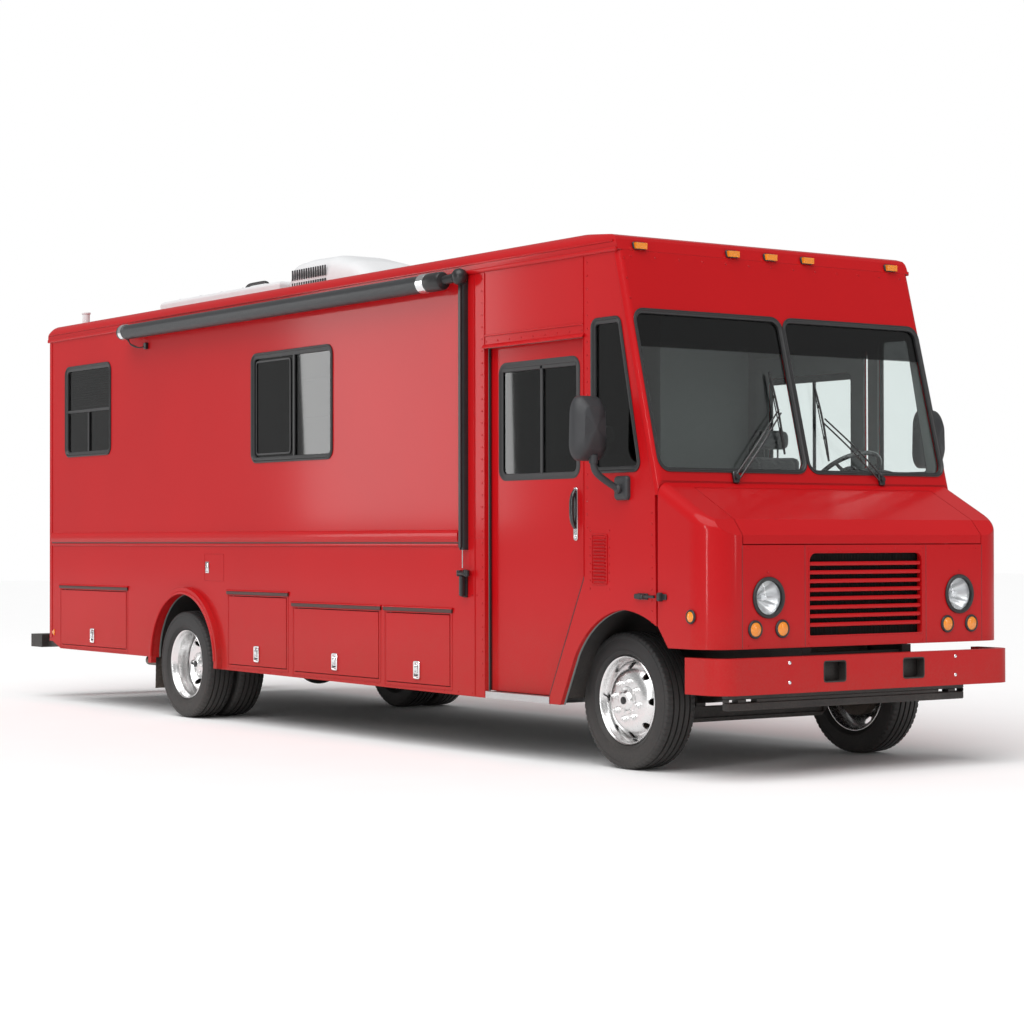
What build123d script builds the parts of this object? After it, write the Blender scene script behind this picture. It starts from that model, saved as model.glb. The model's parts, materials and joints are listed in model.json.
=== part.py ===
from build123d import *
import os
from math import atan2, degrees, radians, sin

# A step-van motorhome on a ladder frame: forward cab, tilting nose, sliding cab doors, rear doors,
# luggage lockers below the floor, single front wheels and twin rear wheels.
# Millimetres. +Z is up, the ground is Z = 0, the front faces -Y and the driver's (left) side is +X.
# The origin is on the ground under the middle of the whole length. Lengths along the vehicle are
# stations: distances behind the front axle, which station() turns into Y.

RIGHT, LEFT = -1, 1
SIDES = {"right": RIGHT, "left": LEFT}
FRONT_AXLE_Y = -3615.0
WHEELBASE = 5210.0

# Body shell
HALF_WIDTH = 1167.0
WALL = 40.0
SKIRT_Z = 362.0
REAR_SKIRT_Z = 437.0
FLOOR_TOP_Z = 1000.0
FLOOR_THICK = 50.0
BELT_Z = 1360.0
ROOF_SEAM_Z = 3030.0
ROOF_TOP_Z = 3190.0
ROOF_EDGE_R = 95.0
ROOF_THICK = 55.0
ROOF_NOSE_Z = 3128.0
ROOF_CROWN = 28.0
BODY_REAR_S = 7700.0
ENTRY_REAR_S = 1206.0
ENTRY_FRONT_S = 185.0
DOOR_HEAD_Z = 2545.0
SILL_Z = 405.0
COWL_S = -503.0

# Slanted front: two points of its outer line, as (station, height)
FRONT_TOP = (-127.0, 3109.0)
FRONT_BASE = (-506.0, 1680.0)
PANE_X = (12.0, 1130.0)
PANE_Z = (1745.0, 2675.0)
PANE_R = 70.0
GLASS = 8.0
WIPER_Z = 1704.0

# Nose
NOSE_S = -979.0
NOSE_BOTTOM_Z = 737.0
LID_Z = 1317.0
LID_HALF = 943.0
NOSE_CORNER_R = 190.0
NOSE_TOP_R = 70.0
NOSE_SHELL = 25.0
SEAM = 6.0
LID_REAR_S = -560.0

# Grille opening: half width, bottom, top. Lamps: distance from the middle, height, radii.
GRILLE = (445.0, 800.0, 1271.0)
LAMP_X = 753.0
LAMP_Z = 1022.0
LAMP_BOWL_R = 97.0
LAMP_RING_R = 117.0
TURN_X = (652.0, 853.0)
TURN_Z = 846.0
TURN_R = 52.0
MARKER_R = 40.0

# Wheels
TYRE_R = 405.0
TYRE_HALF = 112.0
RIM_FLANGE_R = 260.4
BEAD_R = 247.7
RIM_HALF = 88.0
AXLE_Z = TYRE_R
FRONT_WHEEL_X = 904.0
KINGPIN_X = 770.0
KINGPIN_R = 12.0
RUNNING_FIT = 0.05
REAR_OUTER_X = 1074.0
REAR_INNER_X = 816.0
FLARE_OUT = 43.0
REAR_ARCH_R = 510.0
REAR_ARCH_RISE = 25.0
REAR_ARCH_LIP = 50.0

# Chassis
RAIL_X = 430.0
RAIL_W = 70.0
RAIL_H = 200.0
RAIL_TOP_Z = 730.0
SPRING_X = (440.0, 510.0)
BUMPER_S = -1045.0
BUMPER_Z = (486.0, 690.0)
REAR_BUMPER_S = 8275.0
TOW_PLATE = 16.0
TOW_POCKET = 120.0
TOW_HOLE_R = 13.1
REAR_BUMPER_Z = (430.0, 540.0)
EXHAUST_X = -215.0

# Sliding door panel, inside the wall's plane
SLIDE_GAP = 8.0
SLIDE_THICK = 30.0
DOOR_OVERLAP = 25.0
# Pad under the door's grab handle: front, rear, low, high; it stays ahead of the jamb at full travel
DOOR_HANDLE = (308.0, 332.0, 1352.0, 1650.0)
POCKET_X = 1080.0
POCKET_REAR_S = 2110.0

# Step wells inside the cab doors
STEP_INNER_X = 640.0
STEP_FRONT_S = 535.0

# Pair of rear doors: half width of the doorway, its sill and head
REAR_DOOR = (760.0, 1010.0, 2860.0)

# Inside the cab: steering wheel as (X, station, Z) and its tilt, and the seats' span in |X|
STEERING_AT = (715.0, -60.0, 1760.0)
STEERING_TILT = 35.0
SEAT_X = (470.0, 960.0)

# Luggage lockers: (front station, rear station, bottom, top)
RIGHT_LOCKERS = [
    (1600.0, 2360.0, 410.0, 872.0),
    (2455.0, 3575.0, 421.0, 872.0),
    (3685.0, 4530.0, 431.0, 940.0),
    (6237.0, 7458.0, 478.0, 940.0),
]
LEFT_LOCKERS = [
    (3050.0, 4530.0, 431.0, 940.0),
    (6237.0, 7458.0, 478.0, 940.0),
]
LOCKER_GAP = 5.0
LOCKER_DEPTH = 560.0
LOCKER_SHEET = 12.0

# Fixed side windows: (front station, rear station, bottom, top)
SIDE_WINDOWS = [(3060.0, 4185.0, 1918.0, 2690.0), (6530.0, 7373.0, 2053.0, 2784.0)]
WINDOW_R = 60.0
DOOR_WINDOW = (295.0, 1112.0, 1726.0, 2433.0)


def station(s):
    return FRONT_AXLE_Y + s


def box(x, y, z):
    """A block between two corners, each axis given as (low, high)."""
    size = (x[1] - x[0], y[1] - y[0], z[1] - z[0])
    centre = ((x[0] + x[1]) / 2, (y[0] + y[1]) / 2, (z[0] + z[1]) / 2)
    return Pos(*centre) * Box(*size)


def side_box(side, depth, s, z):
    """A block on one side of the vehicle: depth is its span in |X|, s its stations."""
    xs = sorted((side * depth[0], side * depth[1]))
    return box(xs, (station(s[0]), station(s[1])), z)


def outline(points):
    """A flat face in (Y, Z) or any other plane's own axes, from its corners."""
    return make_face(Polyline(*points, close=True))


def panel_yz(side, face, depth):
    """A flat face in (Y, Z), made solid over a span in |X| on one side."""
    low = min(side * depth[0], side * depth[1])
    return Pos(low, 0, 0) * extrude(Plane.YZ * face, abs(depth[1] - depth[0]))


def rounded(s, z, radius):
    """A rounded rectangle in (Y, Z) between stations and heights."""
    width, height = s[1] - s[0], z[1] - z[0]
    return Pos(station((s[0] + s[1]) / 2), (z[0] + z[1]) / 2) * RectangleRounded(width, height, radius)


def front_s(z):
    """Station of the slanted front's outer line at a height."""
    t = (z - FRONT_BASE[1]) / (FRONT_TOP[1] - FRONT_BASE[1])
    return FRONT_BASE[0] + t * (FRONT_TOP[0] - FRONT_BASE[0])


def on_x(solid, side):
    """A solid modelled for +X, put on either side."""
    return solid if side > 0 else mirror(solid, about=Plane.YZ)


# ---------------------------------------------------------------- chassis

def ladder_frame():
    y0, y1 = station(-900), station(7600)
    z = (RAIL_TOP_Z - RAIL_H, RAIL_TOP_Z)
    frame = box((RAIL_X - RAIL_W, RAIL_X), (y0, y1), z)
    frame += box((-RAIL_X, RAIL_W - RAIL_X), (y0, y1), z)
    inner = RAIL_X - RAIL_W
    for s in (-880, 330, 1230, 2130, 3030, 3930, 4560, 5860, 6720, 7560):
        frame += box((-inner, inner), (station(s), station(s + 40)), (z[0] + 30, z[1] - 30))
    return frame


def floor_bearers():
    """Cross bearers that carry the floor on the rails, between the lockers."""
    bearers = []
    for s in (600, 1400, 2378, 3600, 4600, 6150, 7480):
        along = (station(s), station(s + 60))
        bearers.append(box((-540, 540), along, (RAIL_TOP_Z, FLOOR_TOP_Z - FLOOR_THICK)))
    return bearers


def engine_block():
    return box((-330, 330), (station(-640), station(310)), (430, 1180))


def beam_axle():
    """Forged front axle: a dropped I-beam with a kingpin boss at each end."""
    path = [(-KINGPIN_X, AXLE_Z), (-600, AXLE_Z - 25), (-520, 300), (520, 300), (600, AXLE_Z - 25)]
    path.append((KINGPIN_X, AXLE_Z))
    top = [(x, z + 45) for x, z in path]
    bottom = [(x, z - 45) for x, z in reversed(path)]
    beam = extrude(Plane.XZ * outline(top + bottom), 35, both=True)
    beam -= box((-540, 540), (12, 36), (278, 322)) + box((-540, 540), (-36, -12), (278, 322))
    for side in SIDES.values():
        beam += Pos(side * KINGPIN_X, 0, AXLE_Z) * (Cylinder(38, 130) + Cylinder(KINGPIN_R, 210))
    for side in SIDES.values():
        pad = sorted((side * SPRING_X[0], side * SPRING_X[1]))
        beam += box(pad, (-45, 45), (340, 372))
    return Pos(0, station(0), 0) * beam


def leaf_springs():
    """Leaf packs outboard of the rails, each hung on the rail by a hanger at either end."""
    springs = []
    for s, seat_z, half in ((0, 372.0, 600.0), (WHEELBASE, 470.0, 700.0)):
        y, thick, rise = station(s), 45.0, 100.0
        for side in SIDES.values():
            lower = ThreePointArc((y - half, seat_z + rise), (y, seat_z), (y + half, seat_z + rise))
            top = seat_z + thick
            upper = ThreePointArc((y + half, top + rise), (y, top), (y - half, top + rise))
            edges = [lower, Line(lower @ 1, upper @ 0), upper, Line(upper @ 1, lower @ 0)]
            pack = panel_yz(side, make_face(edges), SPRING_X)
            for end in (-1, 1):
                eye = s + end * half
                pack += side_box(side, (RAIL_X, SPRING_X[1]), (eye - 30, eye + 30), (seat_z + rise, 640))
            springs.append(pack)
    return springs


def rear_axle():
    """Banjo axle tube, differential housing and drum hubs as one carrier."""
    y = station(WHEELBASE)
    axle = Pos(0, y, AXLE_Z) * Rot(0, 90, 0) * Cylinder(65, 1749)
    axle += Pos(0, y, AXLE_Z) * Sphere(190)
    axle += Pos(0, y - 200, AXLE_Z + 20) * Rot(90, 0, 0) * Cylinder(80, 140)
    return axle


def driveshaft():
    """Tube from the gearbox tail to the differential's nose."""
    start = Vector(0, station(311.5), 500)
    end = Vector(0, station(WHEELBASE) - 271.5, AXLE_Z + 20)
    run = end - start
    tilt = degrees(atan2(run.Z, run.Y))
    return Pos(*((start + end) / 2)) * Rot(tilt, 0, 0) * Rot(90, 0, 0) * Cylinder(45, run.length)


def fuel_tank():
    tank = box((-330, 330), (station(6800), station(7540)), (400, 640))
    return fillet(tank.edges().filter_by(Axis.X), 60)


def exhaust():
    """Muffler and tailpipe on the right, ending just behind the rear wheel."""
    z = 400.0
    pipe = Pos(EXHAUST_X, station(3000), z) * Rot(90, 0, 0) * Cylinder(100, 700)
    pipe += Pos(EXHAUST_X, station(3950), z) * Rot(90, 0, 0) * Cylinder(32, 1300)
    return pipe


def tailpipe_end():
    """Last stretch of the exhaust, which shows below the skirt."""
    return Pos(-1010, station(5990), 395) * Rot(90, 0, 0) * (Cylinder(38, 300) - Cylinder(33, 320))


# ---------------------------------------------------------------- wheels

def tyre_ring(x):
    """Tyre standing at AXLE_Z, centred on plane x of the axle."""
    half, bead = TYRE_HALF, RIM_HALF - 12
    wall = ThreePointArc((RIM_FLANGE_R + 1, bead), (330, half), (388, half - 12))
    shoulder = ThreePointArc(wall @ 1, (399, half - 20), (403, half - 34))
    crown = ThreePointArc(shoulder @ 1, (TYRE_R, 0), (403, 34 - half))
    edges = [
        Line((BEAD_R, -bead), (BEAD_R, bead)),
        Line((BEAD_R, bead), (RIM_FLANGE_R + 1, bead)),
        wall, shoulder, crown,
        ThreePointArc(crown @ 1, (399, 20 - half), (388, 12 - half)),
        ThreePointArc((388, 12 - half), (330, -half), (RIM_FLANGE_R + 1, -bead)),
        Line((RIM_FLANGE_R + 1, -bead), (BEAD_R, -bead)),
    ]
    ring = revolve(Plane.XZ * make_face(edges), Axis.Z)
    return Pos(x, 0, 0) * Rot(0, 90, 0) * ring


def rim_ring(x, dish, out):
    """Steel wheel centred on plane x. The disc sits at dish, towards side out, with hand holes."""
    half, bead = RIM_HALF, RIM_HALF - 12
    barrel_points = [
        (BEAD_R, -bead), (BEAD_R, bead), (RIM_FLANGE_R, bead), (RIM_FLANGE_R, half),
        (BEAD_R - 8, half), (BEAD_R - 22, bead - 18), (BEAD_R - 22, 18 - bead),
        (BEAD_R - 8, -half), (RIM_FLANGE_R, -half), (RIM_FLANGE_R, -bead),
    ]
    barrel = revolve(Plane.XZ * outline(barrel_points), Axis.Z)
    disc_points = [
        (60, dish), (150, dish), (186, dish - 48), (BEAD_R - 18, dish - 62),
        (BEAD_R - 18, dish - 76), (180, dish - 62), (146, dish - 14), (60, dish - 14),
    ]
    disc = revolve(Plane.XZ * outline(disc_points), Axis.Z)
    for hole in range(8):
        spot = Rot(0, 0, 45 * hole + 22.5) * Pos(204, 0, dish - 60)
        disc -= spot * Cylinder(20, 80)
    wheel = barrel + disc
    return Pos(x, 0, 0) * Rot(0, 90 * out, 0) * wheel


def front_wheel(side):
    """Rim with its hub, and tyre, of one front wheel."""
    here = Pos(0, station(0), AXLE_Z)
    x = side * FRONT_WHEEL_X
    rim = rim_ring(x, 72, side)
    hub = Pos(0, 0, 40) * Cylinder(72, 150)
    drum = Pos(0, 0, -40) * (Cylinder(165, 60) - Pos(0, 0, -10) * Cylinder(152, 60))
    axle_parts = Pos(x, 0, 0) * Rot(0, 90 * side, 0) * (hub + drum)
    return here * (rim + axle_parts), here * tyre_ring(x)


def rear_wheels(side):
    """Twin wheels with back to back discs on one hub, and their two tyres."""
    here = Pos(0, station(WHEELBASE), AXLE_Z)
    outer, inner = side * REAR_OUTER_X, side * REAR_INNER_X
    mid = (REAR_OUTER_X + REAR_INNER_X) / 2
    rims = rim_ring(outer, REAR_OUTER_X - mid, -side) + rim_ring(inner, mid - REAR_INNER_X, side)
    hub = Pos(side * (mid + 40), 0, 0) * Rot(0, 90, 0) * Cylinder(90, 220)
    return here * (rims + hub), here * (tyre_ring(outer) + tyre_ring(inner))


def knuckle(side):
    """Forked steering knuckle around the kingpin boss, with its spindle and brake drum."""
    fork = box((-30, 60), (-45, 45), (-105, 105)) - box((-45, 45), (-60, 60), (-68, 68))
    fork += Pos(60, 0, 0) * Rot(0, 90, 0) * Cylinder(40, 8)
    from_base = (Align.CENTER, Align.CENTER, Align.MIN)
    fork += Pos(58, 0, 0) * Rot(0, 90, 0) * Cylinder(24, 40.5, align=from_base)
    fork -= Cylinder(KINGPIN_R + RUNNING_FIT, 230)
    body = Pos(KINGPIN_X, 0, 0) * fork
    return Pos(0, station(0), AXLE_Z) * on_x(body, side)


# ---------------------------------------------------------------- body shell

def arch_face():
    """Opening over the front wheel in a cab side, closed well below the skirt."""
    p = [(421, SKIRT_Z), (275, 660), (100, 842), (-190, 943), (-381, 907), (-560, 815)]
    pts = [(station(s), z) for s, z in p]
    curve = [
        Line(pts[0], pts[1]),
        ThreePointArc(pts[1], pts[2], pts[3]),
        ThreePointArc(pts[3], pts[4], pts[5]),
    ]
    low = SKIRT_Z - 200
    start, end = (pts[0][0] + 98, low), (pts[5][0], low)
    curve += [Line(pts[5], end), Line(end, start), Line(start, pts[0])]
    return make_face(curve)


def entry_face(grow=0.0):
    """Doorway outline: upright rear edge, front edge slanting back down behind the wheel."""
    front, rear = ENTRY_FRONT_S - grow, ENTRY_REAR_S + grow
    pts = [(rear, SILL_Z - grow), (rear, DOOR_HEAD_Z + grow), (front, DOOR_HEAD_Z + grow)]
    pts += [(front, 1114), (530 - grow, SILL_Z - grow)]
    return outline([(station(s), z) for s, z in pts])


def cab_side(side):
    """Cab side with its quarter window and wheel arch, and the header over the doorway."""
    top = ROOF_SEAM_Z
    pts = [(COWL_S, SKIRT_Z), (front_s(1600) + 45, 1600), (front_s(top) + 45, top), (ENTRY_REAR_S, top)]
    pts += [(ENTRY_REAR_S, SKIRT_Z)]
    face = outline([(station(s), z) for s, z in pts])
    face -= arch_face()
    face -= entry_face()
    side_panel = panel_yz(side, face, (HALF_WIDTH - WALL, HALF_WIDTH))
    through = (HALF_WIDTH - WALL - 5, HALF_WIDTH + 5)
    side_panel -= side_box(side, through, (528, ENTRY_REAR_S + 5), (300, SILL_Z))
    return side_panel - panel_yz(side, quarter_face(), through)


def quarter_face():
    """Quarter window, its front edge parallel to the slanted front."""
    pts = [(97, 1748), (97, 2632), (-160, 2632), (-350, 1748)]
    face = outline([(station(s), z) for s, z in pts])
    return fillet(face.vertices(), 45)


def side_wall(side):
    """Upper wall of the living space, from the belt to the roof seam, with its windows cut."""
    across = (HALF_WIDTH - WALL, HALF_WIDTH)
    wall = side_box(side, across, (ENTRY_REAR_S, BODY_REAR_S), (BELT_Z, ROOF_SEAM_Z))
    for front, rear, low, high in SIDE_WINDOWS:
        hole = rounded((front, rear), (low, high), WINDOW_R)
        wall -= panel_yz(side, hole, (HALF_WIDTH - WALL - 5, HALF_WIDTH + 5))
    return wall


def lower_wall(side, lockers):
    """Wall below the belt, with locker openings and the flared rear arch."""
    pts = [
        (ENTRY_REAR_S, SKIRT_Z), (4850, SKIRT_Z + 29), (5600, REAR_SKIRT_Z), (7480, REAR_SKIRT_Z + 6),
        (7640, 500), (BODY_REAR_S, 500), (BODY_REAR_S, BELT_Z), (ENTRY_REAR_S, BELT_Z),
    ]
    wall = panel_yz(side, outline([(station(s), z) for s, z in pts]), (HALF_WIDTH - WALL, HALF_WIDTH))
    y, z = station(WHEELBASE), AXLE_Z + REAR_ARCH_RISE
    centre = Pos(side * (HALF_WIDTH - WALL / 2), y, z) * Rot(0, 90, 0)
    flare = Pos(side * (HALF_WIDTH + FLARE_OUT / 2), y, z) * Rot(0, 90, 0)
    wall += flare * Cylinder(REAR_ARCH_R + REAR_ARCH_LIP, FLARE_OUT)
    wall -= centre * Cylinder(REAR_ARCH_R, 4 * WALL + 2 * FLARE_OUT)
    along = (WHEELBASE - 700, WHEELBASE + 700)
    below = side_box(side, (HALF_WIDTH - 1, HALF_WIDTH + 90), along, (-200, 395))
    wall -= below
    for front, rear, low, high in lockers:
        wall -= side_box(side, (HALF_WIDTH - WALL - 5, HALF_WIDTH + 5), (front, rear), (low, high))
    return wall


def roof_profile(inset):
    """Roof section across the vehicle: upright edges, round shoulders and a light crown."""
    half, top, radius = HALF_WIDTH - inset, ROOF_TOP_Z - inset, ROOF_EDGE_R - inset / 2
    shoulder_z = top - ROOF_CROWN - radius
    dip = radius * (1 - sin(radians(45)))
    eave, mid_z, low = top - ROOF_CROWN, shoulder_z + radius - dip, ROOF_SEAM_Z
    left = ThreePointArc((half, shoulder_z), (half - dip, mid_z), (half - radius, eave))
    crown = ThreePointArc((half - radius, eave), (0, top), (radius - half, eave))
    right = ThreePointArc((radius - half, eave), (dip - half, mid_z), (-half, shoulder_z))
    sides = Polyline((-half, shoulder_z), (-half, low), (half, low), (half, shoulder_z))
    return make_face([left, crown, right, sides])


def roof():
    """Roof shell with rounded shoulders, cut to the slant of the front and rounded at the rear."""
    y_front, y_rear = station(FRONT_TOP[0] - 40), station(BODY_REAR_S + 40)
    length = y_rear - y_front
    block = Pos(0, y_rear, 0) * extrude(Plane.XZ * roof_profile(0), length)
    edge = [
        (station(front_s(ROOF_SEAM_Z)), ROOF_SEAM_Z), (station(FRONT_TOP[0] + 4), FRONT_TOP[1] - 15),
        (station(FRONT_TOP[0] + 19), FRONT_TOP[1] + 4), (station(FRONT_TOP[0] + 67), ROOF_NOSE_Z),
        (station(600), ROOF_TOP_Z + 5),
        (station(7300), ROOF_TOP_Z + 5), (y_rear - 60, ROOF_TOP_Z - ROOF_CROWN),
        (y_rear - 5, ROOF_TOP_Z - 100), (y_rear - 5, ROOF_SEAM_Z),
    ]
    shape = extrude(Plane.YZ * outline(edge), HALF_WIDTH + 10, both=True)
    outer = block & shape
    cavity = Pos(0, station(BODY_REAR_S) - WALL, 0) * extrude(
        Plane.XZ * roof_profile(ROOF_THICK), BODY_REAR_S - WALL - front_s(ROOF_SEAM_Z) - 95
    )
    lining = [
        (y_front, ROOF_SEAM_Z - 10), (y_front, ROOF_NOSE_Z - ROOF_THICK),
        (station(FRONT_TOP[0] + 67), ROOF_NOSE_Z - ROOF_THICK), (station(600), ROOF_TOP_Z - ROOF_THICK + 5),
        (y_rear, ROOF_TOP_Z - ROOF_THICK + 5), (y_rear, ROOF_SEAM_Z - 10),
    ]
    return outer - (cavity & extrude(Plane.YZ * outline(lining), HALF_WIDTH, both=True))


def front_opening(sign, grow=0.0):
    """Block that cuts one windshield opening through the slanted front, along Y."""
    x_mid = sign * (PANE_X[0] + PANE_X[1]) / 2
    z_mid = (PANE_Z[0] + PANE_Z[1]) / 2
    pane = RectangleRounded(PANE_X[1] - PANE_X[0] + grow, PANE_Z[1] - PANE_Z[0] + grow, PANE_R)
    return Pos(0, station(0), 0) * extrude(Plane.XZ * (Pos(x_mid, z_mid) * pane), 1200, both=True)


def slanted_slab(depth, z_low, z_high, half):
    """Slab parallel to the slanted front: depth is its span behind the outer line."""
    pts = [(front_s(z_low) + depth[0], z_low), (front_s(z_high) + depth[0], z_high)]
    pts += [(front_s(z_high) + depth[1], z_high), (front_s(z_low) + depth[1], z_low)]
    face = outline([(station(s), z) for s, z in pts])
    return extrude(Plane.YZ * face, half, both=True)


def front_wall():
    """Slanted front with rounded corner posts and two windshield openings, on an upright firewall."""
    slab = slanted_slab((0, 45), 1600, ROOF_SEAM_Z, HALF_WIDTH)
    corners = slab.edges().filter_by(lambda e: abs(abs(e.center().X) - HALF_WIDTH) < 1)
    front_edges = [
        e for e in corners
        if e.length > 1000 and e.center().Y < station(front_s(e.center().Z) + 20)
    ]
    slab = fillet(front_edges, 40)
    for sign in (-1, 1):
        slab -= front_opening(sign)
    slab -= box((-HALF_WIDTH - 5, HALF_WIDTH + 5), (station(COWL_S - 60), station(COWL_S)), (1500, 1681))
    inner = HALF_WIDTH - WALL
    wall = box((-inner, inner), (station(COWL_S + 3), station(COWL_S + 33)), (950, 1601))
    wall -= box((-345, 345), (station(COWL_S - 20), station(COWL_S + 60)), (900, 1200))
    return slab + wall


def windshields():
    sheet = slanted_slab((18, 18 + GLASS), PANE_Z[0] - 20, PANE_Z[1] + 20, HALF_WIDTH)
    return [sheet & front_opening(sign) for sign in (-1, 1)]


def side_windows():
    """Panes of the living space and the cab's quarter windows, both sides."""
    panes = []
    depth = (HALF_WIDTH - 24, HALF_WIDTH - 24 + GLASS)
    for side in SIDES.values():
        for front, rear, low, high in SIDE_WINDOWS:
            panes.append(panel_yz(side, rounded((front, rear), (low, high), WINDOW_R), depth))
        panes.append(panel_yz(side, quarter_face(), depth))
    return panes


def floor():
    """Flat floor with a cut-out for the engine and the two entry wells."""
    inner = HALF_WIDTH - WALL
    z = (FLOOR_TOP_Z - FLOOR_THICK, FLOOR_TOP_Z)
    deck = box((-inner, inner), (station(COWL_S + 33), station(BODY_REAR_S - WALL)), z)
    deck -= box((-345, 345), (station(COWL_S), station(325)), (z[0] - 5, z[1] + 5))
    cut_z = (z[0] - 5, z[1] + 5)
    for side in SIDES.values():
        deck -= side_box(side, (STEP_INNER_X, inner + 5), (STEP_FRONT_S, ENTRY_REAR_S), cut_z)
        deck -= side_box(side, (POCKET_X, inner + 5), (150, POCKET_REAR_S), cut_z)
    return deck


def entry_steps():
    """Two step wells with an outer tread that shows below the doors."""
    wells = []
    for side in SIDES.values():
        s = (STEP_FRONT_S, ENTRY_REAR_S)
        steps = side_box(side, (850, HALF_WIDTH), s, (SKIRT_Z, SILL_Z - 3))
        steps += side_box(side, (STEP_INNER_X, 850), s, (560, 600))
        steps += side_box(side, (838, 850), s, (SKIRT_Z, 600))
        steps += side_box(side, (STEP_INNER_X, STEP_INNER_X + 12), s, (560, 950))
        steps += side_box(side, (STEP_INNER_X, POCKET_X), (s[0], s[0] + 12), (SKIRT_Z, 950))
        steps += side_box(side, (STEP_INNER_X, POCKET_X), (s[1] - 12, s[1]), (SKIRT_Z, 950))
        wells.append(steps)
    return wells


def rear_wall():
    """Rear wall as a frame around the doorway."""
    inner = HALF_WIDTH - WALL
    wall = box((-inner, inner), (station(BODY_REAR_S - WALL), station(BODY_REAR_S)), (535, ROOF_SEAM_Z))
    half, low, high = REAR_DOOR
    return wall - box((-half, half), (station(BODY_REAR_S - 60), station(BODY_REAR_S + 20)), (low, high))


def rear_door(side):
    """One of the pair of rear doors, set in the doorway."""
    half, low, high = REAR_DOOR
    leaf = side_box(side, (3, half - 6), (BODY_REAR_S - 34, BODY_REAR_S + 4), (low + 6, high - 6))
    leaf += side_box(side, (90, 120), (BODY_REAR_S + 4, BODY_REAR_S + 44), (1750, 2000))
    for z in (1200, 1930, 2660):
        leaf += Pos(side * (half - 6), station(BODY_REAR_S + 12), z) * Cylinder(10, 120)
        strap = (BODY_REAR_S + 4, BODY_REAR_S + 12)
        leaf += side_box(side, (half - 150, half - 6), strap, (z - 30, z + 30))
    return leaf


def partitions():
    """Half-width partitions between cab and living space, leaving the aisle open."""
    s = (1300.0, 1330.0)
    pair = []
    for side in SIDES.values():
        pair.append(side_box(side, (310, POCKET_X), s, (FLOOR_TOP_Z, ROOF_SEAM_Z - 10)))
    return pair


def luggage_bays():
    """Sheet floors, backs and ends behind each locker door, as plates that don't touch."""
    plates = []
    t = LOCKER_SHEET
    back = HALF_WIDTH - WALL - LOCKER_DEPTH
    for side, lockers in ((RIGHT, RIGHT_LOCKERS), (LEFT, LEFT_LOCKERS)):
        for front, rear, low, high in lockers:
            out = POCKET_X if front < POCKET_REAR_S else HALF_WIDTH - WALL - 1
            top = FLOOR_TOP_Z - FLOOR_THICK - 1
            plates.append(side_box(side, (back, out), (front - t, rear + t), (low - t - 1, low - 1)))
            plates.append(side_box(side, (back - t - 1, back - 1), (front, rear), (low - 1, top)))
            for s in (front - t, rear):
                plates.append(side_box(side, (back, out), (s, s + t), (low, top)))
    return plates


# ---------------------------------------------------------------- doors

def slide_depth():
    """Span in |X| of a sliding door, just inside the wall."""
    outer = HALF_WIDTH - WALL - SLIDE_GAP
    return (outer - SLIDE_THICK, outer)


def sliding_door(side):
    """Sliding cab door with its window opening, grab handle and lower corner cut for the wheel."""
    o = DOOR_OVERLAP
    rear_s, front_edge, head = ENTRY_REAR_S + o, ENTRY_FRONT_S + 4, DOOR_HEAD_Z + o
    pts = [(rear_s, SILL_Z + 3), (rear_s, head), (front_edge, head), (front_edge, 1114), (534, SILL_Z + 3)]
    face = outline([(station(s), z) for s, z in pts])
    front, rear, low, high = DOOR_WINDOW
    face -= rounded((front, rear), (low, high), WINDOW_R)
    door = panel_yz(side, face, slide_depth())
    outer = slide_depth()[1]
    front, rear, low, high = DOOR_HANDLE
    door += side_box(side, (outer, outer + 6), (front, rear), (low, high))
    return door


def door_window(side):
    front, rear, low, high = DOOR_WINDOW
    mid = sum(slide_depth()) / 2
    return panel_yz(side, rounded((front, rear), (low, high), WINDOW_R), (mid - 4, mid + 4))


def locker_door(side, locker):
    """Top-hinged locker door with its drip rail and paddle latch."""
    front, rear, low, high = locker
    g = LOCKER_GAP
    leaf = side_box(side, (HALF_WIDTH - 30, HALF_WIDTH + 3), (front + g, rear - g), (low + g, high - g))
    mid = (front + rear) / 2
    leaf += side_box(side, (HALF_WIDTH + 3, HALF_WIDTH + 9), (mid - 35, mid + 35), (low + 30, low + 145))
    return leaf


# ---------------------------------------------------------------- nose

def nose_block(inset):
    """Solid form of the nose: slanted top, upright front and rounded corners."""
    half, front = HALF_WIDTH - inset, NOSE_S + inset
    drop = inset * 1.1
    pts = [(COWL_S - SEAM, NOSE_BOTTOM_Z), (COWL_S - SEAM, 1672 - drop), (-905 + inset / 2, 1462 - drop)]
    pts += [(front, 1372 - drop), (front, NOSE_BOTTOM_Z)]
    face = outline([(station(s), z) for s, z in pts])
    shape = extrude(Plane.YZ * face, half, both=True)
    corner_edges = shape.edges().filter_by(Axis.Z).filter_by(lambda e: e.center().Y < station(-900))
    shape = fillet(corner_edges, NOSE_CORNER_R - inset)
    return shape


def nose_form(inset):
    """Nose form with the long top corners rounded too."""
    shape = nose_block(inset)
    half = HALF_WIDTH - inset
    radius = NOSE_TOP_R - inset / 2
    top = shape.edges().filter_by(lambda e: abs(abs(e.center().X) - half) < 1 and e.center().Z > 1470)
    return fillet(top, radius)


def lid_region():
    """Block that holds the hood lid: between the side seams and above the front seam."""
    return box((-LID_HALF, LID_HALF), (station(NOSE_S - 60), station(LID_REAR_S)), (LID_Z, 1800))


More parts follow.
